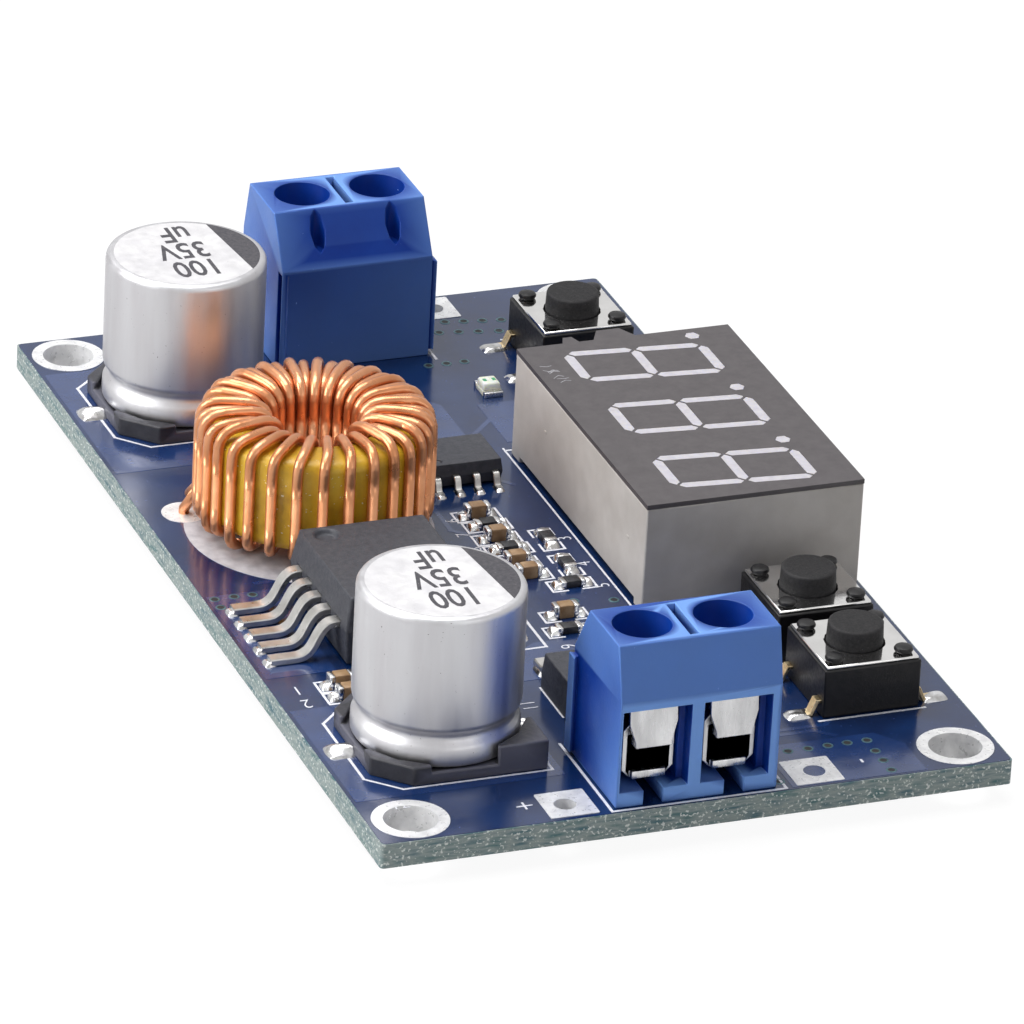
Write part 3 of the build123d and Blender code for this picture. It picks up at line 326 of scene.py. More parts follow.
def bentStrip(path, width, thick, turn):
    line = [Vector(place) for place in path]
    for _ in range(3):
        cut = [line[0]]
        for a, b in zip(line, line[1:]):
            cut += [a.lerp(b, 0.18), a.lerp(b, 0.82)]
        line = cut + [line[-1]]
    w, t, rim = width / 2, thick / 2, 0.16 * thick
    section = [(-w + rim, -t), (w - rim, -t), (w, -t + rim), (w, t - rim), (w - rim, t), (-w + rim, t), (-w, t - rim),
               (-w, -t + rim)]
    points, faces = [], []
    for k, place in enumerate(line):
        along = (line[min(k + 1, len(line) - 1)] - line[max(k - 1, 0)]).normalized()
        points += [(place.x - along.y * h, across, place.y + along.x * h) for across, h in section]
    for k in range(len(line) - 1):
        faces += [(8 * k + i, 8 * k + (i + 1) % 8, 8 * k + 8 + (i + 1) % 8, 8 * k + 8 + i) for i in range(8)]
    last = 8 * (len(line) - 1)
    faces += [tuple(range(8)), tuple(range(last + 7, last - 1, -1))]
    mesh = buildMesh("strip", points, faces, 40)
    mesh.flip_normals()
    mesh.transform(Matrix.Rotation(radians(turn), 4, "Z"))
    return mesh


def circleLoop(x, y, radius, sides):
    return [(x + radius * cos(2 * pi * k / sides), y + radius * sin(2 * pi * k / sides)) for k in range(sides)]


def boxLoop(x, y, width, length, corner=0.0):
    if corner <= 0:
        return [(x + a * width / 2, y + b * length / 2) for a, b in ((-1, -1), (1, -1), (1, 1), (-1, 1))]
    loop = []
    for start, (a, b) in zip((0, 90, 180, 270), ((1, 1), (-1, 1), (-1, -1), (1, -1))):
        cx, cy = x + a * (width / 2 - corner), y + b * (length / 2 - corner)
        for k in range(7):
            turn = radians(start + 90 * k / 6)
            loop.append((cx + corner * cos(turn), cy + corner * sin(turn)))
    return loop


def addPiece(name, parts, body="board", replaces=()):
    work = bmesh.new()
    looks = []
    for part, look in parts:
        if look not in looks:
            looks.append(look)
        known = len(work.faces)
        work.from_mesh(part)
        work.faces.ensure_lookup_table()
        for face in work.faces[known:]:
            face.material_index = looks.index(look)
        bpy.data.meshes.remove(part)
    mesh = bpy.data.meshes.new(name)
    work.to_mesh(mesh)
    work.free()
    for look in looks:
        mesh.materials.append(look)
    made = newObject(name, mesh)
    if replaces:
        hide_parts(*replaces)
    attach(made, body)
    return made


def camelName(words):
    first, *rest = words.split("_")
    return first + "".join(word.capitalize() for word in rest)


def fourPlaces(x, y):
    return [(a * x, b * y) for a in (-1, 1) for b in (-1, 1)]


# A softened copy of a node: welded, its flat faces joined, its edges rounded
def softMesh(node, bevel=0.08, segments=2, angle=32, cutters=()):
    mesh = nodes[node].data.copy()
    work = bmesh.new()
    work.from_mesh(mesh)
    bmesh.ops.remove_doubles(work, verts=work.verts, dist=2e-6)
    bmesh.ops.dissolve_limit(work, angle_limit=radians(1), verts=work.verts, edges=work.edges)
    bmesh.ops.recalc_face_normals(work, faces=work.faces)
    work.to_mesh(mesh)
    work.free()
    mesh.materials.clear()
    holder = newObject("softening", mesh)
    for cutter in cutters:
        tool = newObject("cutting", cutter)
        tool.hide_set(True)
        cut = holder.modifiers.new("cut", "BOOLEAN")
        cut.operation = "DIFFERENCE"
        cut.solver = "EXACT"
        cut.object = tool
    if bevel:
        soft = holder.modifiers.new("softEdge", "BEVEL")
        soft.width = mm * bevel
        soft.segments = segments
        soft.limit_method = "ANGLE"
        soft.angle_limit = radians(angle)
        soft.use_clamp_overlap = False
        soft.loop_slide = True
    made = frozenMesh(holder)
    bpy.data.objects.remove(holder)
    for tool in [one for one in bpy.data.objects if one.name.startswith("cutting")]:
        bpy.data.objects.remove(tool)
    made.shade_smooth()
    made.set_sharp_from_angle(angle=radians(angle))
    for face in made.polygons:
        face.use_smooth = face.area < 1.2e-6
    return made


# Geometry Nodes: one tree that sweeps a round wire along a route, one that repeats a piece on points
def newTree(name, inputs):
    tree = bpy.data.node_groups.new(name, "GeometryNodeTree")
    tree.interface.new_socket("Geometry", in_out="INPUT", socket_type="NodeSocketGeometry")
    for label, kind in inputs:
        tree.interface.new_socket(label, in_out="INPUT", socket_type=kind)
    tree.interface.new_socket("Geometry", in_out="OUTPUT", socket_type="NodeSocketGeometry")
    return tree, tree.nodes.new("NodeGroupInput"), tree.nodes.new("NodeGroupOutput")


def chainNodes(tree, start, *steps):
    flow = start
    made = []
    for kind, entry in steps:
        node = tree.nodes.new(kind)
        tree.links.new(flow, node.inputs[entry])
        flow = node.outputs[0]
        made.append(node)
    return flow, made


sweepTree, sweepIn, sweepOut = newTree("sweepWire", (
    ("Wire radius", "NodeSocketFloat"), ("Corner radius", "NodeSocketFloat"), ("Sides", "NodeSocketInt"),
    ("Look", "NodeSocketMaterial")))
sweepFlow, (_, fillet, sweep, _, _, painter) = chainNodes(
    sweepTree, sweepIn.outputs["Geometry"],
    ("GeometryNodeMeshToCurve", "Mesh"), ("GeometryNodeFilletCurve", "Curve"), ("GeometryNodeCurveToMesh", "Curve"),
    ("GeometryNodeSetShadeSmooth", "Geometry"), ("GeometryNodeRealizeInstances", "Geometry"),
    ("GeometryNodeSetMaterial", "Geometry"))
fillet.mode = "POLY"
fillet.inputs["Count"].default_value = 2
fillet.inputs["Limit Radius"].default_value = True
sweepTree.links.new(sweepIn.outputs["Corner radius"], fillet.inputs["Radius"])
ring = sweepTree.nodes.new("GeometryNodeCurvePrimitiveCircle")
sweepTree.links.new(sweepIn.outputs["Sides"], ring.inputs["Resolution"])
sweepTree.links.new(sweepIn.outputs["Wire radius"], ring.inputs["Radius"])
sweepTree.links.new(ring.outputs["Curve"], sweep.inputs["Profile Curve"])
sweep.inputs["Fill Caps"].default_value = True
sweepTree.links.new(sweepIn.outputs["Look"], painter.inputs["Material"])
sweepTree.links.new(sweepFlow, sweepOut.inputs["Geometry"])

repeatTree, repeatIn, repeatOut = newTree("repeatPiece", (
    ("Piece", "NodeSocketObject"), ("Size spread", "NodeSocketFloat"), ("Turn spread", "NodeSocketFloat"),
    ("Seed", "NodeSocketInt"), ("Look", "NodeSocketMaterial")))
asked = repeatTree.nodes.new("GeometryNodeObjectInfo")
repeatTree.links.new(repeatIn.outputs["Piece"], asked.inputs["Object"])
repeatFlow, (repeater, _, repeatPainter) = chainNodes(
    repeatTree, repeatIn.outputs["Geometry"],
    ("GeometryNodeInstanceOnPoints", "Points"), ("GeometryNodeRealizeInstances", "Geometry"),
    ("GeometryNodeSetMaterial", "Geometry"))
repeatTree.links.new(asked.outputs["Geometry"], repeater.inputs["Instance"])
sizes = repeatTree.nodes.new("FunctionNodeRandomValue")
sizeLow = repeatTree.nodes.new("ShaderNodeMath")
sizeLow.operation = "SUBTRACT"
sizeLow.inputs[0].default_value = 1.0
repeatTree.links.new(repeatIn.outputs["Size spread"], sizeLow.inputs[1])
repeatTree.links.new(sizeLow.outputs[0], sizes.inputs[2])
sizes.inputs[3].default_value = 1.0
repeatTree.links.new(repeatIn.outputs["Seed"], sizes.inputs["Seed"])
repeatTree.links.new(sizes.outputs[1], repeater.inputs["Scale"])
turns = repeatTree.nodes.new("FunctionNodeRandomValue")
turns.inputs[2].default_value = 0.0
repeatTree.links.new(repeatIn.outputs["Turn spread"], turns.inputs[3])
repeatTree.links.new(repeatIn.outputs["Seed"], turns.inputs["Seed"])
upright = repeatTree.nodes.new("ShaderNodeCombineXYZ")
repeatTree.links.new(turns.outputs[1], upright.inputs["Z"])
repeatTree.links.new(upright.outputs[0], repeater.inputs["Rotation"])
repeatTree.links.new(repeatIn.outputs["Look"], repeatPainter.inputs["Material"])
repeatTree.links.new(repeatFlow, repeatOut.inputs["Geometry"])


def grownMesh(tree, base, settings):
    holder = newObject("growing", base)
    grower = holder.modifiers.new("grow", "NODES")
    grower.node_group = tree
    for item in tree.interface.items_tree:
        if item.in_out == "INPUT" and item.name in settings:
            grower[item.identifier] = settings[item.name]
    made = frozenMesh(holder)
    bpy.data.objects.remove(holder)
    bpy.data.meshes.remove(base)
    made.materials.clear()
    return made


def sweptMesh(route, radius, corner, sides, look):
    base = bpy.data.meshes.new("route")
    base.from_pydata([[mm * c for c in p] for p in route], [(k, k + 1) for k in range(len(route) - 1)], [])
    return grownMesh(sweepTree, base, {"Wire radius": mm * radius, "Corner radius": mm * corner, "Sides": sides,
                                       "Look": look})


def repeatedMesh(places, template, look, spread=0.0, turn=0.0, seed=1):
    base = bpy.data.meshes.new("places")
    base.from_pydata([[mm * c for c in p] for p in places], [], [])
    shape = newObject("template", template)
    made = grownMesh(repeatTree, base, {"Piece": shape, "Size spread": spread, "Turn spread": turn, "Seed": seed,
                                        "Look": look})
    bpy.data.objects.remove(shape)
    return made


print("helpers ready")

# Circuit board: laminate with real round holes, mask skins, copper areas, rings and pads
# Pairs are the lowest and highest points of a layer
boardSizes = {"width": 39.2, "length": 68.5, "laminate": (1.23, 2.77), "topSkin": (2.77, boardTop),
              "underSkin": (1.20, 1.23), "copper": (2.79, 2.815), "mountTin": (2.79, 2.835),
              "padTin": (2.79, 2.84), "underTin": (1.17, 1.21), "mountX": 16.95, "mountY": 31.75,
              "mountHole": 1.6, "mountRing": 2.29, "padX": 7.62, "padY": 32.4, "pad": 3.0,
              "holeX": 7.75, "holeY": 32.45, "wireHole": 0.68, "traceWidth": 0.32}
mountHole, mountRing, wireHole = (boardSizes[key] for key in ("mountHole", "mountRing", "wireHole"))
mounts = fourPlaces(boardSizes["mountX"], boardSizes["mountY"])
pads = fourPlaces(boardSizes["padX"], boardSizes["padY"])
wireHoles = fourPlaces(boardSizes["holeX"], boardSizes["holeY"])
holeLoops = [circleLoop(x, y, mountHole, 48) for x, y in mounts]
holeLoops += [circleLoop(x, y, wireHole, 28) for x, y in wireHoles]
outline = boxLoop(0, 0, boardSizes["width"] - 0.02, boardSizes["length"] - 0.02, 0.25)
skin = boxLoop(0, 0, boardSizes["width"] - 0.16, boardSizes["length"] - 0.16, 0.3)
boardParts = [(platedMesh([outline] + holeLoops, *boardSizes["laminate"]), glassLook),
              (platedMesh([skin] + holeLoops, *boardSizes["topSkin"]), maskLook),
              (platedMesh([skin] + holeLoops, *boardSizes["underSkin"]), maskLook)]
copperAreas = (
    [(-19.3, -29.0), (-19.3, -17.4), (-14.6, -17.4), (-14.6, -18.2), (-6.4, -18.2), (-6.4, -29.0)],
    [(-19.3, -13.2), (-14.9, -13.2), (-14.9, -2.2), (-19.3, -2.2)],
    [(-19.3, 15.0), (-5.0, 15.0), (-5.0, 27.6), (-8.0, 29.4), (-19.3, 29.4)],
    [(5.8, -34.0), (5.8, -28.9), (12.9, -28.9), (14.2, -30.6), (14.2, -34.0)],
    [(-5.0, -17.4), (3.4, -17.4), (4.6, -16.0), (4.6, -12.9), (-2.4, -12.9), (-5.0, -14.8)],
    [(-4.2, 12.9), (3.4, 12.9), (3.4, 19.0), (1.0, 22.0), (-4.2, 22.0)],
    [(5.6, 13.0), (9.6, 13.0), (9.6, 18.5), (5.6, 18.5)],
)
for area in copperAreas:
    boardParts.append((platedMesh([area], *boardSizes["copper"]), pourLook))
traces = (
    [(8.2, -25.3), (9.4, -22.4), (9.4, -18.0), (7.6, -16.0)],
    [(7.6, -27.2), (10.6, -27.2), (11.4, -26.4)],
    [(7.4, -27.75), (9.6, -27.75), (10.6, -28.6)],
    [(5.0, -13.2), (6.6, -14.8), (8.6, -14.8)],
    [(-2.0, 6.0), (-2.0, 2.4), (-1.4, 1.8)],
    [(2.4, 12.6), (2.4, 9.0), (3.9, 7.4)],
    [(-3.4, 14.6), (-3.4, 18.6), (0.5, 22.4), (0.5, 25.0)],
    [(4.0, 14.6), (6.5, 17.2), (8.6, 17.2)],
    [(-15.8, -1.2), (-13.0, -1.2)],
)
for trace in traces:
    boardParts.append((strokeMesh(trace, boardSizes["traceWidth"], boardSizes["copper"][0], 0.022), pourLook))
mountSleeve = [(mountHole, 2.836), (mountHole - 0.03, 2.6), (mountHole - 0.03, 1.4), (mountHole, 1.2)]
for x, y in mounts:
    rim = [circleLoop(x, y, mountRing, 56), circleLoop(x, y, mountHole, 48)]
    boardParts.append((platedMesh(rim, *boardSizes["mountTin"]), tinPadLook))
    boardParts.append((latheMesh(mountSleeve, 48, (x, y, 0)), tinPadLook))
    boardParts.append((platedMesh(rim, *boardSizes["underTin"]), tinPadLook))
wireSleeve = [(wireHole - 0.01, 2.84), (wireHole - 0.03, 2.6), (wireHole - 0.03, 1.4), (wireHole - 0.01, 1.17)]
for (x, y), (hx, hy) in zip(pads, wireHoles):
    square = [boxLoop(x, y, boardSizes["pad"], boardSizes["pad"], 0.12), circleLoop(hx, hy, wireHole - 0.02, 28)]
    for layer in ("padTin", "underTin"):
        boardParts.append((platedMesh(square, *boardSizes[layer]), tinPadLook))
    boardParts.append((latheMesh(wireSleeve, 28, (hx, hy, 0)), tinPadLook))
addPiece("circuitBoard", boardParts, replaces=("circuit_board",))

# Vias: a thin ring on each place, with a near-black disc inside it as painted shade for the bore
viaPlaces = [(7.18, -29.77), (8.45, -29.77), (9.72, -29.72), (10.95, -29.7), (12.19, -29.71), (12.17, -31.08),
             (12.17, -32.28), (12.17, -33.52), (5.3, -33.12), (5.3, -31.4), (-18.9, -2.62), (-17.66, -2.57),
             (-18.89, -3.71), (-17.67, -3.71), (-16.5, -3.67), (-16.5, -2.6), (6.9, 29.0), (8.15, 28.8),
             (9.4, 28.55), (10.7, 28.3), (7.8, 30.4), (9.0, 30.2), (10.2, 30.0), (11.4, 29.8), (1.9, -8.4),
             (4.3, -8.9), (3.4, 10.9), (1.0, 14.0), (2.2, 14.0), (3.4, 14.0), (-4.3, 11.6), (10.2, 14.9),
             (4.6, 24.6), (5.8, 24.6), (7.0, 24.6)]
viaPoints = [(x, y, boardTop) for x, y in viaPlaces]
viaRing = latheMesh([(0.34, 0.0), (0.32, 0.026), (0.22, 0.028), (0.22, 0.0)], 18)
# A flat disc of painted shade that stands in for the dark bore
viaBoreShade = latheMesh([(0.22, 0.019), (0.0, 0.018)], 14)
addPiece("vias", [(repeatedMesh(viaPoints, viaRing, viaRingLook), viaRingLook),
                  (repeatedMesh(viaPoints, viaBoreShade, boreShadeLook), boreShadeLook)])
print("board done")

# Silkscreen: outlines as thin strokes, plain numbers and signs
capOutline = [(-16.11, -28.25), (-17.92, -26.5), (-17.91, -19.39), (-16.8, -18.29), (-6.92, -18.29), (-6.92, -28.25)]
backOutline = [(-16.04, 18.0), (-17.79, 19.85), (-17.87, 27.04), (-16.9, 27.92), (-6.92, 28.1), (-6.92, 18.0)]
inkParts = [strokeMesh(capOutline, closed=True), strokeMesh(backOutline, closed=True)]
inkParts.append(strokeMesh([(-4.6, -2.4), (-1.8, -2.4), (-1.8, -13.6), (-4.6, -13.6)]))
inkParts.append(strokeMesh([(-4.0, -18.5), (-4.0, -22.3)]))
inkParts.append(strokeMesh([(5.02, -11.6), (5.02, 12.2)], 0.13))
inkParts.append(strokeMesh([(5.12, -11.2), (19.0, -11.2)], 0.15))
inkParts.append(strokeMesh([(5.12, 11.9), (19.0, 11.9)], 0.15))
inkParts.append(strokeMesh([(-1.7, 12.4), (-2.0, 12.4), (-2.0, 7.2), (-1.7, 7.2)]))
for side in (-1, 1):
    inkParts.append(strokeMesh([(-5.4, side * 25.4), (-5.4, side * 34.0), (5.4, side * 34.0), (5.4, side * 25.4)]))
switches = {"x": 13.75, "rows": {"up": -23.45, "down": -16.05, "mode": 23.7}, "rivet": 2.2, "cover": 3.1}
for y in switches["rows"].values():
    inkParts.append(strokeMesh([(10.4, y - 3.3), (17.1, y - 3.3)]))
    inkParts.append(strokeMesh([(10.4, y + 3.3), (17.1, y + 3.3)]))
flatChips = [(0.2, 3.9), (0.3, 0.6), (0.3, -2.85), (0.4, -4.6), (0.7, -10.05), (-15.3, -15.05), (-15.3, -16.55),
             (0.35, 2.4), (0.5, -0.95), (2.55, -6.35), (0.2, -12.0)]
uprightChips = [(3.2, -0.3), (3.15, -3.85)]
bracket = ((0.5, -0.68), (1.42, -0.68), (1.42, 0.68), (0.5, 0.68))  # one end of a chip part's outline
for x, y in flatChips:
    for side in (-1, 1):
        inkParts.append(strokeMesh([(x + side * a, y + b) for a, b in bracket], 0.14))
for x, y in uprightChips:
    for side in (-1, 1):
        inkParts.append(strokeMesh([(x + b, y + side * a) for a, b in bracket], 0.14))
labels = (("-", 2.2, 10.75, -32.0, 90), ("+", 2.2, -9.95, -32.0, 90), ("1", 1.5, -18.0, -15.0, 180),
          ("2", 1.5, -18.0, -16.7, 180), ("3", 1.3, 4.35, -0.4, 90), ("4", 1.3, 4.3, -3.9, 90),
          ("5", 1.3, 4.35, -6.9, 90), ("6", 1.3, -1.45, 3.6, 90), ("7", 1.3, -1.45, 1.6, 90),
          ("8", 1.3, -1.45, -0.4, 90), ("9", 1.4, -0.46, -13.9, 90), ("10", 1.3, -2.6, 9.8, 90),
          ("11", 1.4, -5.4, -20.4, 90), ("12", 1.4, -17.0, -30.0, 0))
for words, size, x, y, turn in labels:
    inkParts.append(textMesh(words, size, x, y, turn))
discParts = [(platedMesh([circleLoop(-10.2, 5.1, 7.65, 72)], 2.79, 2.822), padGreyLook),
             (platedMesh([circleLoop(-16.95, 8.9, 1.4, 32)], 2.80, 2.83), tinPadLook)]
addPiece("boardPrint", [(part, inkLook) for part in inkParts] + discParts)
print("print done")

# Electrolytic capacitors: turned cans with a crimp, moulded bases, leads, print on the top
cans = {"x": -12.3, "rows": {"input": -22.95, "output": 23.3}, "flat": 4.5, "top": 10.385, "printLow": 10.38,
        "printHigh": 10.398, "words": (("100", 0.0, -2.1), ("35V", -0.1, 0.5), ("uF", 0.2, 2.9))}
canX, canTop = cans["x"], cans["top"]
canProfile = [(4.55, 0.76), (4.88, 0.80), (4.97, 0.95), (5.0, 1.3), (4.98, 1.85), (4.86, 2.08), (4.68, 2.28),
              (4.6, 2.5), (4.64, 2.72), (4.82, 2.95), (4.95, 3.1), (5.0, 3.35), (5.0, 9.95), (4.97, 10.15),
              (4.87, 10.31), (4.72, 10.375), (cans["flat"], canTop)]
for name, y in cans["rows"].items():
    parts = [(latheMesh(canProfile, 96, (canX, y, boardTop)), canLook)]
    lid = [(radius, canTop) for radius in (cans["flat"], 2.2, 0)]
    parts.append((latheMesh(lid, 96, (canX, y, boardTop)), canTopLook))
    chord = []
    for k in range(25):
        turn = radians(-44 + 100 * k / 24)
        chord.append((canX + 4.55 * cos(turn), y + 4.55 * sin(turn)))
    parts.append((platedMesh([chord], boardTop + cans["printLow"], boardTop + cans["printHigh"]), printLook))
    for words, dx, dy in cans["words"]:
        word = textMesh(words, 3.1, canX + dx, y + dy, 180, boardTop + cans["printLow"], 0.018, 0.012, 0.66)
        parts.append((word, printLook))
    addPiece(name + "CapacitorCan", parts, replaces=(name + "_capacitor_can",))
    addPiece(name + "CapacitorBase", [(softMesh(name + "_capacitor_base", 0.12, 3), basePlasticLook)],
             replaces=(name + "_capacitor_base",))
    addPiece(name + "CapacitorLeads", [(softMesh(name + "_capacitor_leads", 0.03, 1), leadLook)],
             replaces=(name + "_capacitor_leads",))
    lumps = [(lumpMesh(canX - 5.75, y, 2.0, 1.8, 0.42, 3, steps=20, rough=0.5), solderLook),
             (lumpMesh(canX + 5.6, y, 1.6, 1.8, 0.36, 5, steps=16, rough=0.5), solderLook)]
    addPiece(name + "CapacitorSolder", lumps)
print("capacitors done")

# Inductor: painted ring core, one wire wound through it along a computed route
coil = {"x": -9.9, "y": 5.5, "wire": 0.335, "corner": 0.12, "sides": 12, "lead": 7.85, "outer": 7.07,
        "inner": 3.43, "second": 2.83, "top": 10.47, "bottom": 3.68, "rise": 0.45, "front": -111.75,
        "frontPitch": 13.0, "backPitch": 7.9, "first": -90.0, "span": 318.0, "fill": 349.0, "crowded": 12.0}
coreProfile = [(6.0, 1.25), (6.45, 1.36), (6.7, 1.65), (6.8, 1.95), (6.8, 6.6), (6.7, 6.95), (6.45, 7.2),
               (6.0, 7.3), (4.6, 7.3), (4.1, 7.2), (3.88, 6.95), (3.8, 6.6), (3.8, 1.95), (3.88, 1.65), (4.1, 1.36),
               (4.6, 1.25), (6.0, 1.25)]
addPiece("inductorCore", [(latheMesh(coreProfile, 96, (coil["x"], coil["y"], boardTop), 60), coreLook)],
         replaces=("inductor_core",))


def coilPoint(radius, angle, height):
    return (coil["x"] + radius * cos(radians(angle)), coil["y"] + radius * sin(radians(angle)), height)


def turnRoute(angle, pitch, second):
    hole = coil["second"] if second else coil["inner"]
    rise = coil["rise"] if second else 0.0
    outer = coil["outer"] + chance.uniform(-0.03, 0.0)
    middle, half = (outer + hole) / 2, (outer - hole) / 2
    shoulder, heel = coil["top"] - 1.5, coil["bottom"] + 0.9
    places = [coilPoint(outer, angle, heel + (shoulder - heel) * k / 4) for k in range(4)]
    for k in range(15):
        turn = pi * k / 14
        reach = half * abs(cos(turn)) ** 0.62 * (1 if cos(turn) > 0 else -1)
        lift = (1.6 + 0.6 * rise) * sin(turn) ** 0.62 if 0 < k < 14 else 0.0
        places.append(coilPoint(middle + reach, angle + 0.25 * pitch * (1 - cos(turn)), shoulder + lift))
    places += [coilPoint(hole, angle + 0.5 * pitch, shoulder + (heel - shoulder) * k / 4) for k in range(1, 4)]
    for k in range(10):
        turn = pi * k / 10
        reach = half * abs(cos(turn)) ** 0.7 * (-1 if cos(turn) > 0 else 1)
        drop = (0.9 + rise) * sin(turn) ** 0.7
        places.append(coilPoint(middle + reach, angle + pitch * (0.5 + 0.25 * (1 - cos(turn))), heel - drop))
    return places


turnPlaces, angle, second, lastAngle = [], coil["first"], False, None
while angle < coil["first"] + coil["fill"]:
    pitch = coil["backPitch"] + (coil["frontPitch"] - coil["backPitch"]) * max(0.0, cos(radians(angle)))
    crowded = pitch < coil["crowded"]
    second = crowded and not second
    turnPlaces.append((angle + coil["front"], pitch, second))
    angle += pitch
    if angle >= coil["first"] + coil["span"] and lastAngle is None:
        lastAngle = angle + coil["front"] + 4.0
firstAngle = turnPlaces[0][0] - 4.0
endAngle = turnPlaces[-1][0] + turnPlaces[-1][1]
lead = coil["lead"]
route = [coilPoint(lead, firstAngle, 0.15), coilPoint(lead, firstAngle, 3.1)]
for place in turnPlaces:
    route += turnRoute(*place)
route += [coilPoint(coil["outer"], endAngle, coil["bottom"] + 0.9), coilPoint(lead, endAngle - 5, 3.4),
          coilPoint(lead, 0.5 * (endAngle + lastAngle), 3.25), coilPoint(lead, lastAngle, 3.2),
          coilPoint(lead, lastAngle, 0.15)]
winding = sweptMesh(route, coil["wire"], coil["corner"], coil["sides"], wireLook)
addPiece("inductorWinding", [(winding, wireLook)], replaces=("inductor_winding",))
print("inductor done", len(turnPlaces), "turns")

# Packages: softened bodies with their moulding marks, formed leads and tabs
packages = {
    "regulator": {"bevel": 0.14, "dimple": (-12.6, -4.4, 0.75), "width": 0.85, "thick": 0.44,
                  "path": [(3.6, 5.1), (5.1, 5.1), (6.15, 3.03), (8.5, 3.03)],
                  "leads": [(180, [(-10.0, -8.0 + 1.7 * k, 0) for k in range(-2, 3)])]},
    "diode": {"bevel": 0.10, "dimple": None, "width": 0.8, "thick": 0.49,
              "path": [(2.0, 3.8), (3.7, 3.8), (4.45, 3.06), (5.75, 3.06)],
              "leads": [(90, [(-3.035, -21.45, 0), (1.535, -21.45, 0)])]},
    "chip": {"bevel": 0.06, "dimple": (-0.75, 8.55, 0.32), "width": 0.42, "thick": 0.2,
             "path": [(1.8, 3.6), (2.25, 3.6), (2.48, 2.91), (3.05, 2.91)],
             "leads": [(turn, [(0.9 + 1.27 * (k - 1.5), 9.8, 0) for k in range(4)]) for turn in (-90, 90)]},
}
for name, facts in packages.items():
    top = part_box(name + "_body")[1][2] / mm
    cutters = []
    if facts["dimple"]:
        x, y, radius = facts["dimple"]
        depth = 0.3 * radius / 0.75
        cutters.append(latheMesh([(0, -depth), (radius * 0.8, -depth), (radius, 0.0), (radius, 0.3), (0, 0.3)], 40,
                                 (x, y, top)))
    addPiece(name + "Body", [(softMesh(name + "_body", facts["bevel"], 3, 32, cutters), packageLook)],
             replaces=(name + "_body",))
    strips = []
    for turn, places in facts["leads"]:
        strip = bentStrip(facts["path"], facts["width"], facts["thick"], turn)
        strips.append((repeatedMesh(places, strip, leadLook), leadLook))
    addPiece(name + "Leads", strips, replaces=(name + "_leads",))
    if name != "chip":
        addPiece(name + "Tab", [(softMesh(name + "_tab", 0.08, 2), leadLook)],
                 replaces=(name + "_tab",))
print("packages done")

# Solder on the feet of the packages, switches and chip parts
footSolder = []
regulatorFeet = [(-18.2, -8.0 + 1.7 * k) for k in (-2, -1, 0, 1, 2)]
for k, (x, y) in enumerate(regulatorFeet):
    footSolder.append((lumpMesh(x - 0.3, y, 0.75, 1.0, 0.26, 20 + k, steps=10, rough=0.15), solderLook))
footSolder.append((lumpMesh(-3.6, -8.0, 2.6, 9.9, 0.22, 31, steps=18, rough=0.3, power=8), solderLook))
footSolder.append((lumpMesh(-0.75, -25.3, 5.6, 1.5, 0.25, 32, steps=14, rough=0.3, power=6), solderLook))
for k, x in enumerate((-3.03, 1.53)):
    footSolder.append((lumpMesh(x, -16.5, 1.2, 1.5, 0.3, 40 + k), solderLook))
for side in (-1, 1):
    for k in range(4):
        x = 0.9 + 1.27 * (k - 1.5)
        footSolder.append((lumpMesh(x, 9.8 + side * 2.75, 0.62, 1.1, 0.2, 50 + k, steps=8), solderLook))
for k, (x, y) in enumerate(flatChips):
    for side in (-1, 1):
        footSolder.append((lumpMesh(x + side * 0.92, y, 0.75, 0.95, 0.33, 60 + 2 * k + side, steps=10), capEndLook))
for k, (x, y) in enumerate(uprightChips):
    for side in (-1, 1):
        footSolder.append((lumpMesh(x, y + side * 0.92, 0.95, 0.75, 0.33, 90 + 2 * k + side, steps=10), capEndLook))
for k, y in enumerate(switches["rows"].values()):
    for a in (-1, 1):
        for b in (-1, 1):
            lump = lumpMesh(switches["x"] + a * 4.3, y + b * 2.25, 1.7, 1.15, 0.24, 110 + 7 * k + a + 2 * b)
            footSolder.append((lump, solderLook))
addPiece("footSolder", footSolder)

# Meter
addPiece("meterShell", [(softMesh("meter_shell", 0.10, 2), shellLook)], replaces=("meter_shell",))
addPiece("meterFront", [(softMesh("meter_front", 0.0), meterFaceLook)], replaces=("meter_front",))
addPiece("meterSegments", [(softMesh("meter_segments", 0.03, 1), segmentLook)],
         replaces=("meter_segments",))
meter = {"x": 12.25, "y": 0.22, "pitch": 2.54, "rowOffset": 5.08}
underside = 1.2
pinPlaces = [(meter["x"] + a * meter["rowOffset"], meter["y"] + meter["pitch"] * (k - 2.5), underside)
             for a in (-1, 1) for k in range(6)]
cone = latheMesh([(0.0, -0.86), (0.3, -0.84), (0.38, -0.6), (0.5, -0.3), (0.72, -0.1), (0.95, 0.0)], 16)
meterPins = [(softMesh("meter_pins", 0.04, 1), leadLook),
             (repeatedMesh(pinPlaces, cone, solderLook, 0.12, 6.0, 4), solderLook)]
addPiece("meterPins", meterPins, replaces=("meter_pins",))
jointPlaces = [(x, y, underside) for x, y in ((-2.8, -28.12), (2.2, -28.12), (2.8, 28.12), (-2.2, 28.12))]
jointPlaces += [coilPoint(lead, turn, underside) for turn in (firstAngle, lastAngle)]
joint = latheMesh([(0.0, -0.9), (0.45, -0.88), (0.6, -0.5), (0.85, -0.2), (1.15, 0.0)], 20)
addPiece("pinSolder", [(repeatedMesh(jointPlaces, joint, solderLook, 0.1, 6.0, 9), solderLook)])
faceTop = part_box("meter_front")[1][2] / mm
scratches = []
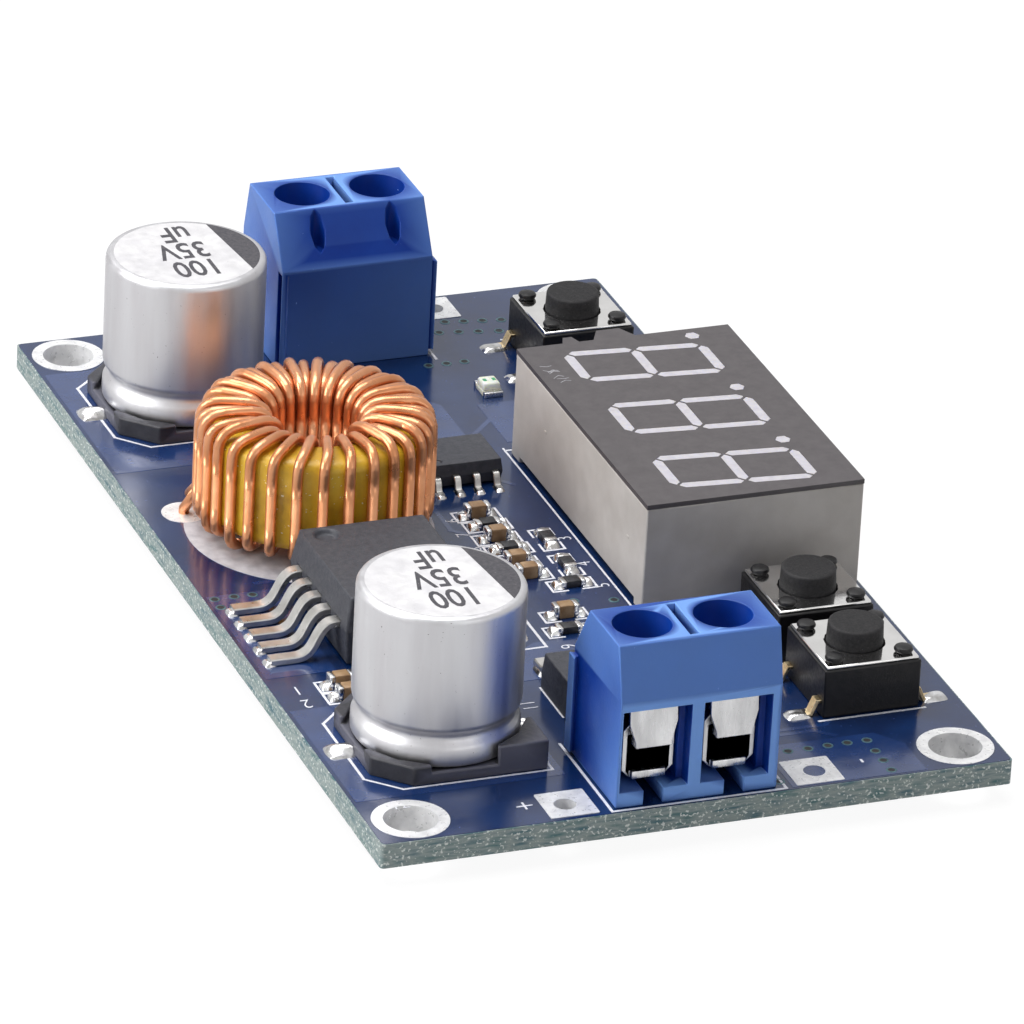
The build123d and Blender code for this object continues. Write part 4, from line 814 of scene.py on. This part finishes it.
for k in range(7):
    x, y = 5.7 + 0.1 * k + chance.uniform(-0.1, 0.1), 8.6 - 0.4 * k + chance.uniform(-0.2, 0.2)
    bend = chance.uniform(-0.4, 0.4)
    scratch = strokeMesh([(x, y), (x + 0.4, y + bend), (x + 0.7, y + bend * 0.4)], 0.035, faceTop, 0.004)
    scratches.append((scratch, padGreyLook))
for x, y, z in ((5.245, -8.2, 6.6), (5.245, 5.9, 6.9)):
    mark = lumpMesh(0, 0, 0.22, 0.4, 0.03, 7, 0.0, 6)
    mark.transform(Matrix.Translation((mm * x, mm * y, mm * z)) @ Matrix.Rotation(radians(-90), 4, "Y"))
    scratches.append((mark, shellLook))
addPiece("meterMarks", scratches)
print("meter done")

# Push buttons, in the rows given with the print
rivetProfile = [(0.40, 0.0), (0.44, 0.1), (0.58, 0.18), (0.59, 0.27), (0.52, 0.38), (0.34, 0.435), (0, 0.45)]
rivetHeight = boardTop + switches["cover"] + 0.2
for name, y in switches["rows"].items():
    corners = fourPlaces(switches["rivet"], switches["rivet"])
    rivetPlaces = [(switches["x"] + a, y + b, rivetHeight) for a, b in corners]
    rivets = repeatedMesh(rivetPlaces, latheMesh(rivetProfile, 24), housingLook, 0.05, 6.0, 2)
    housing = softMesh(name + "_switch_housing", 0.10, 2)
    addPiece(name + "SwitchHousing", [(housing, housingLook), (rivets, housingLook)],
             replaces=(name + "_switch_housing",))
    addPiece(name + "SwitchCover", [(softMesh(name + "_switch_cover", 0.07, 2), coverLook)],
             replaces=(name + "_switch_cover",))
    lowest, highest = (corner[2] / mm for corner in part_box(name + "_button"))
    buttonProfile = [(0, lowest), (2.05, lowest), (2.05, lowest + 0.3), (1.74, lowest + 0.34), (1.72, lowest + 1.2),
                     (1.66, highest - 0.16), (1.62, highest - 0.06), (1.54, highest - 0.01), (1.45, highest),
                     (0, highest)]
    addPiece(name + "Button", [(latheMesh(buttonProfile, 64, (switches["x"], y, 0)), buttonLook)],
             name + "_button_body", (name + "_button",))
    addPiece(name + "SwitchContacts", [(softMesh(name + "_switch_contacts", 0.03, 1), tanLeadLook)],
             replaces=(name + "_switch_contacts",))
    addPiece(name + "SwitchDome", [(softMesh(name + "_switch_dome", 0.0), coverLook)],
             replaces=(name + "_switch_dome",))
print("switches done")

# Screw terminals
for end in ("input", "output"):
    addPiece(end + "TerminalHousing", [(softMesh(end + "_terminal_housing", 0.07, 2), terminalLook)],
             replaces=(end + "_terminal_housing",))
    addPiece(end + "TerminalContacts", [(softMesh(end + "_terminal_contacts", 0.04, 2), steelLook)],
             replaces=(end + "_terminal_contacts",))
    for side in ("left", "right"):
        screw, cage = (f"{end}_{side}_{kind}" for kind in ("screw", "cage"))
        addPiece(camelName(screw), [(softMesh(screw, 0.06, 2), steelLook)], screw + "_body", (screw,))
        addPiece(camelName(cage), [(softMesh(cage, 0.06, 2), steelLook)], cage + "_body", (cage,))
print("terminals done")

# Chip parts and the indicator light
for node, look, slot, bevel in (("chip_capacitor_bodies", ceramicLook, "ceramic", 0.06),
                                ("chip_capacitor_ends", capEndLook, "tinned_metal", 0.09),
                                ("chip_resistor_bodies", resistorLook, "resistor_coat", 0.03),
                                ("chip_resistor_ends", capEndLook, "tinned_metal", 0.06),
                                ("indicator_base", lampLook, "lamp_resin", 0.04),
                                ("indicator_ends", capEndLook, "tinned_metal", 0.04),
                                ("indicator_lens", lampLook, "lamp_resin", 0.10)):
    addPiece(camelName(node), [(softMesh(node, bevel, 2), look)], replaces=(node,))
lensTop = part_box("indicator_lens")[1][2] / mm
marks = [(platedMesh([boxLoop(7.0 + 0.3 * a, 20.2, 0.22, 0.34)], lensTop - 0.01, lensTop + 0.012), markLook)
         for a in (-1, 1)]
addPiece("indicatorMarks", marks)
print("chip parts done")

# Stage: pale floor, soft light, the photograph's viewpoint
floorLook = bpy.data.materials.new("floorPaper")
floorLook.use_nodes = True
floorTree = floorLook.node_tree
floorShader = floorTree.nodes["Principled BSDF"]
floorShader.inputs["Roughness"].default_value = 0.9
floorTone = makeRamp(floorTree, makeNoise(floorTree, 0.02), twoTone((0.66, 0.66, 0.66), (0.68, 0.68, 0.68)))
floorTree.links.new(floorTone, floorShader.inputs["Base Color"])
glowing = floorTree.nodes.new("ShaderNodeEmission")
glowing.inputs["Strength"].default_value = 1.1
rays = floorTree.nodes.new("ShaderNodeLightPath")
share = floorTree.nodes.new("ShaderNodeMath")
share.operation = "MULTIPLY"
share.inputs[1].default_value = 0.85
blend = floorTree.nodes.new("ShaderNodeMixShader")
floorTree.links.new(rays.outputs["Is Camera Ray"], share.inputs[0])
floorTree.links.new(share.outputs[0], blend.inputs["Fac"])
floorTree.links.new(floorShader.outputs[0], blend.inputs[1])
floorTree.links.new(glowing.outputs[0], blend.inputs[2])
floorTree.links.new(blend.outputs[0], floorTree.nodes["Material Output"].inputs["Surface"])
floorMesh = buildMesh("floor", [(-4000, -4000, -0.02), (4000, -4000, -0.02), (4000, 6000, -0.02), (-4000, 6000, -0.02)],
                      [(0, 1, 2, 3)])
floorMesh.materials.append(floorLook)
floor = newObject("floor", floorMesh)

world = bpy.data.worlds.new("studio")
scene.world = world
world.use_nodes = True
skyTree = world.node_tree
sky = skyTree.nodes["Background"]
sky.inputs["Color"].default_value = (1, 1, 1, 1)
skyRays = skyTree.nodes.new("ShaderNodeLightPath")
plainRays = skyTree.nodes.new("ShaderNodeMath")
plainRays.operation = "MAXIMUM"
skyTree.links.new(skyRays.outputs["Is Camera Ray"], plainRays.inputs[0])
skyTree.links.new(skyRays.outputs["Is Transmission Ray"], plainRays.inputs[1])
brightRays = skyTree.nodes.new("ShaderNodeMath")
brightRays.operation = "MAXIMUM"
shinyShare = skyTree.nodes.new("ShaderNodeMath")
shinyShare.operation = "MULTIPLY"
shinyShare.inputs[1].default_value = 0.72
skyTree.links.new(skyRays.outputs["Is Glossy Ray"], shinyShare.inputs[0])
skyTree.links.new(plainRays.outputs[0], brightRays.inputs[0])
skyTree.links.new(shinyShare.outputs[0], brightRays.inputs[1])
level = makeRange(skyTree, brightRays.outputs[0], 0, 1, 0.16, 1.0)
skyTree.links.new(level, sky.inputs["Strength"])


# Lamps aimed at the middle of the board: place, width and height in metres, watts
lamps = {"topLamp": ((-0.10, 0.15, 0.60), (0.5, 0.5), 4.0), "leftLamp": ((-0.60, 0.05, 0.30), (0.4, 0.4), 3.0),
         "frontLamp": ((0.20, -0.60, 0.25), (0.4, 0.3), 0.35)}
for name, (place, size, power) in lamps.items():
    data = bpy.data.lights.new(name, "AREA")
    data.shape = "RECTANGLE"
    data.size, data.size_y = size
    data.energy = power
    lamp = newObject(name, data)
    lamp.location = place
    lamp.rotation_euler = (-Vector(place)).to_track_quat("-Z", "Y").to_euler()

# Camera: angles in degrees, focal length in pixels of the 1024 pixel photograph, place in metres
viewpoint = {"azimuth": 21.7486, "elevation": 26.3898, "roll": 3.0421, "focal": 9371.23,
             "place": (-0.187667, -0.472833, 0.257431)}
cameraData = bpy.data.cameras.new("camera")
cameraData.sensor_width = 36
cameraData.lens = viewpoint["focal"] * 36 / 1024
cameraData.clip_end = 20
camera = newObject("camera", cameraData)
azimuth, elevation, roll = (radians(viewpoint[key]) for key in ("azimuth", "elevation", "roll"))
forward = Vector((sin(azimuth) * cos(elevation), cos(azimuth) * cos(elevation), -sin(elevation)))
right = Vector((cos(azimuth), -sin(azimuth), 0))
up = right.cross(forward)
rolledRight = right * cos(roll) + up * sin(roll)
rolledUp = up * cos(roll) - right * sin(roll)
turning = Matrix((rolledRight, rolledUp, -forward)).transposed().to_4x4()
camera.matrix_world = Matrix.Translation(viewpoint["place"]) @ turning
scene.camera = camera
scene.view_settings.view_transform = "Standard"
print("stage done")
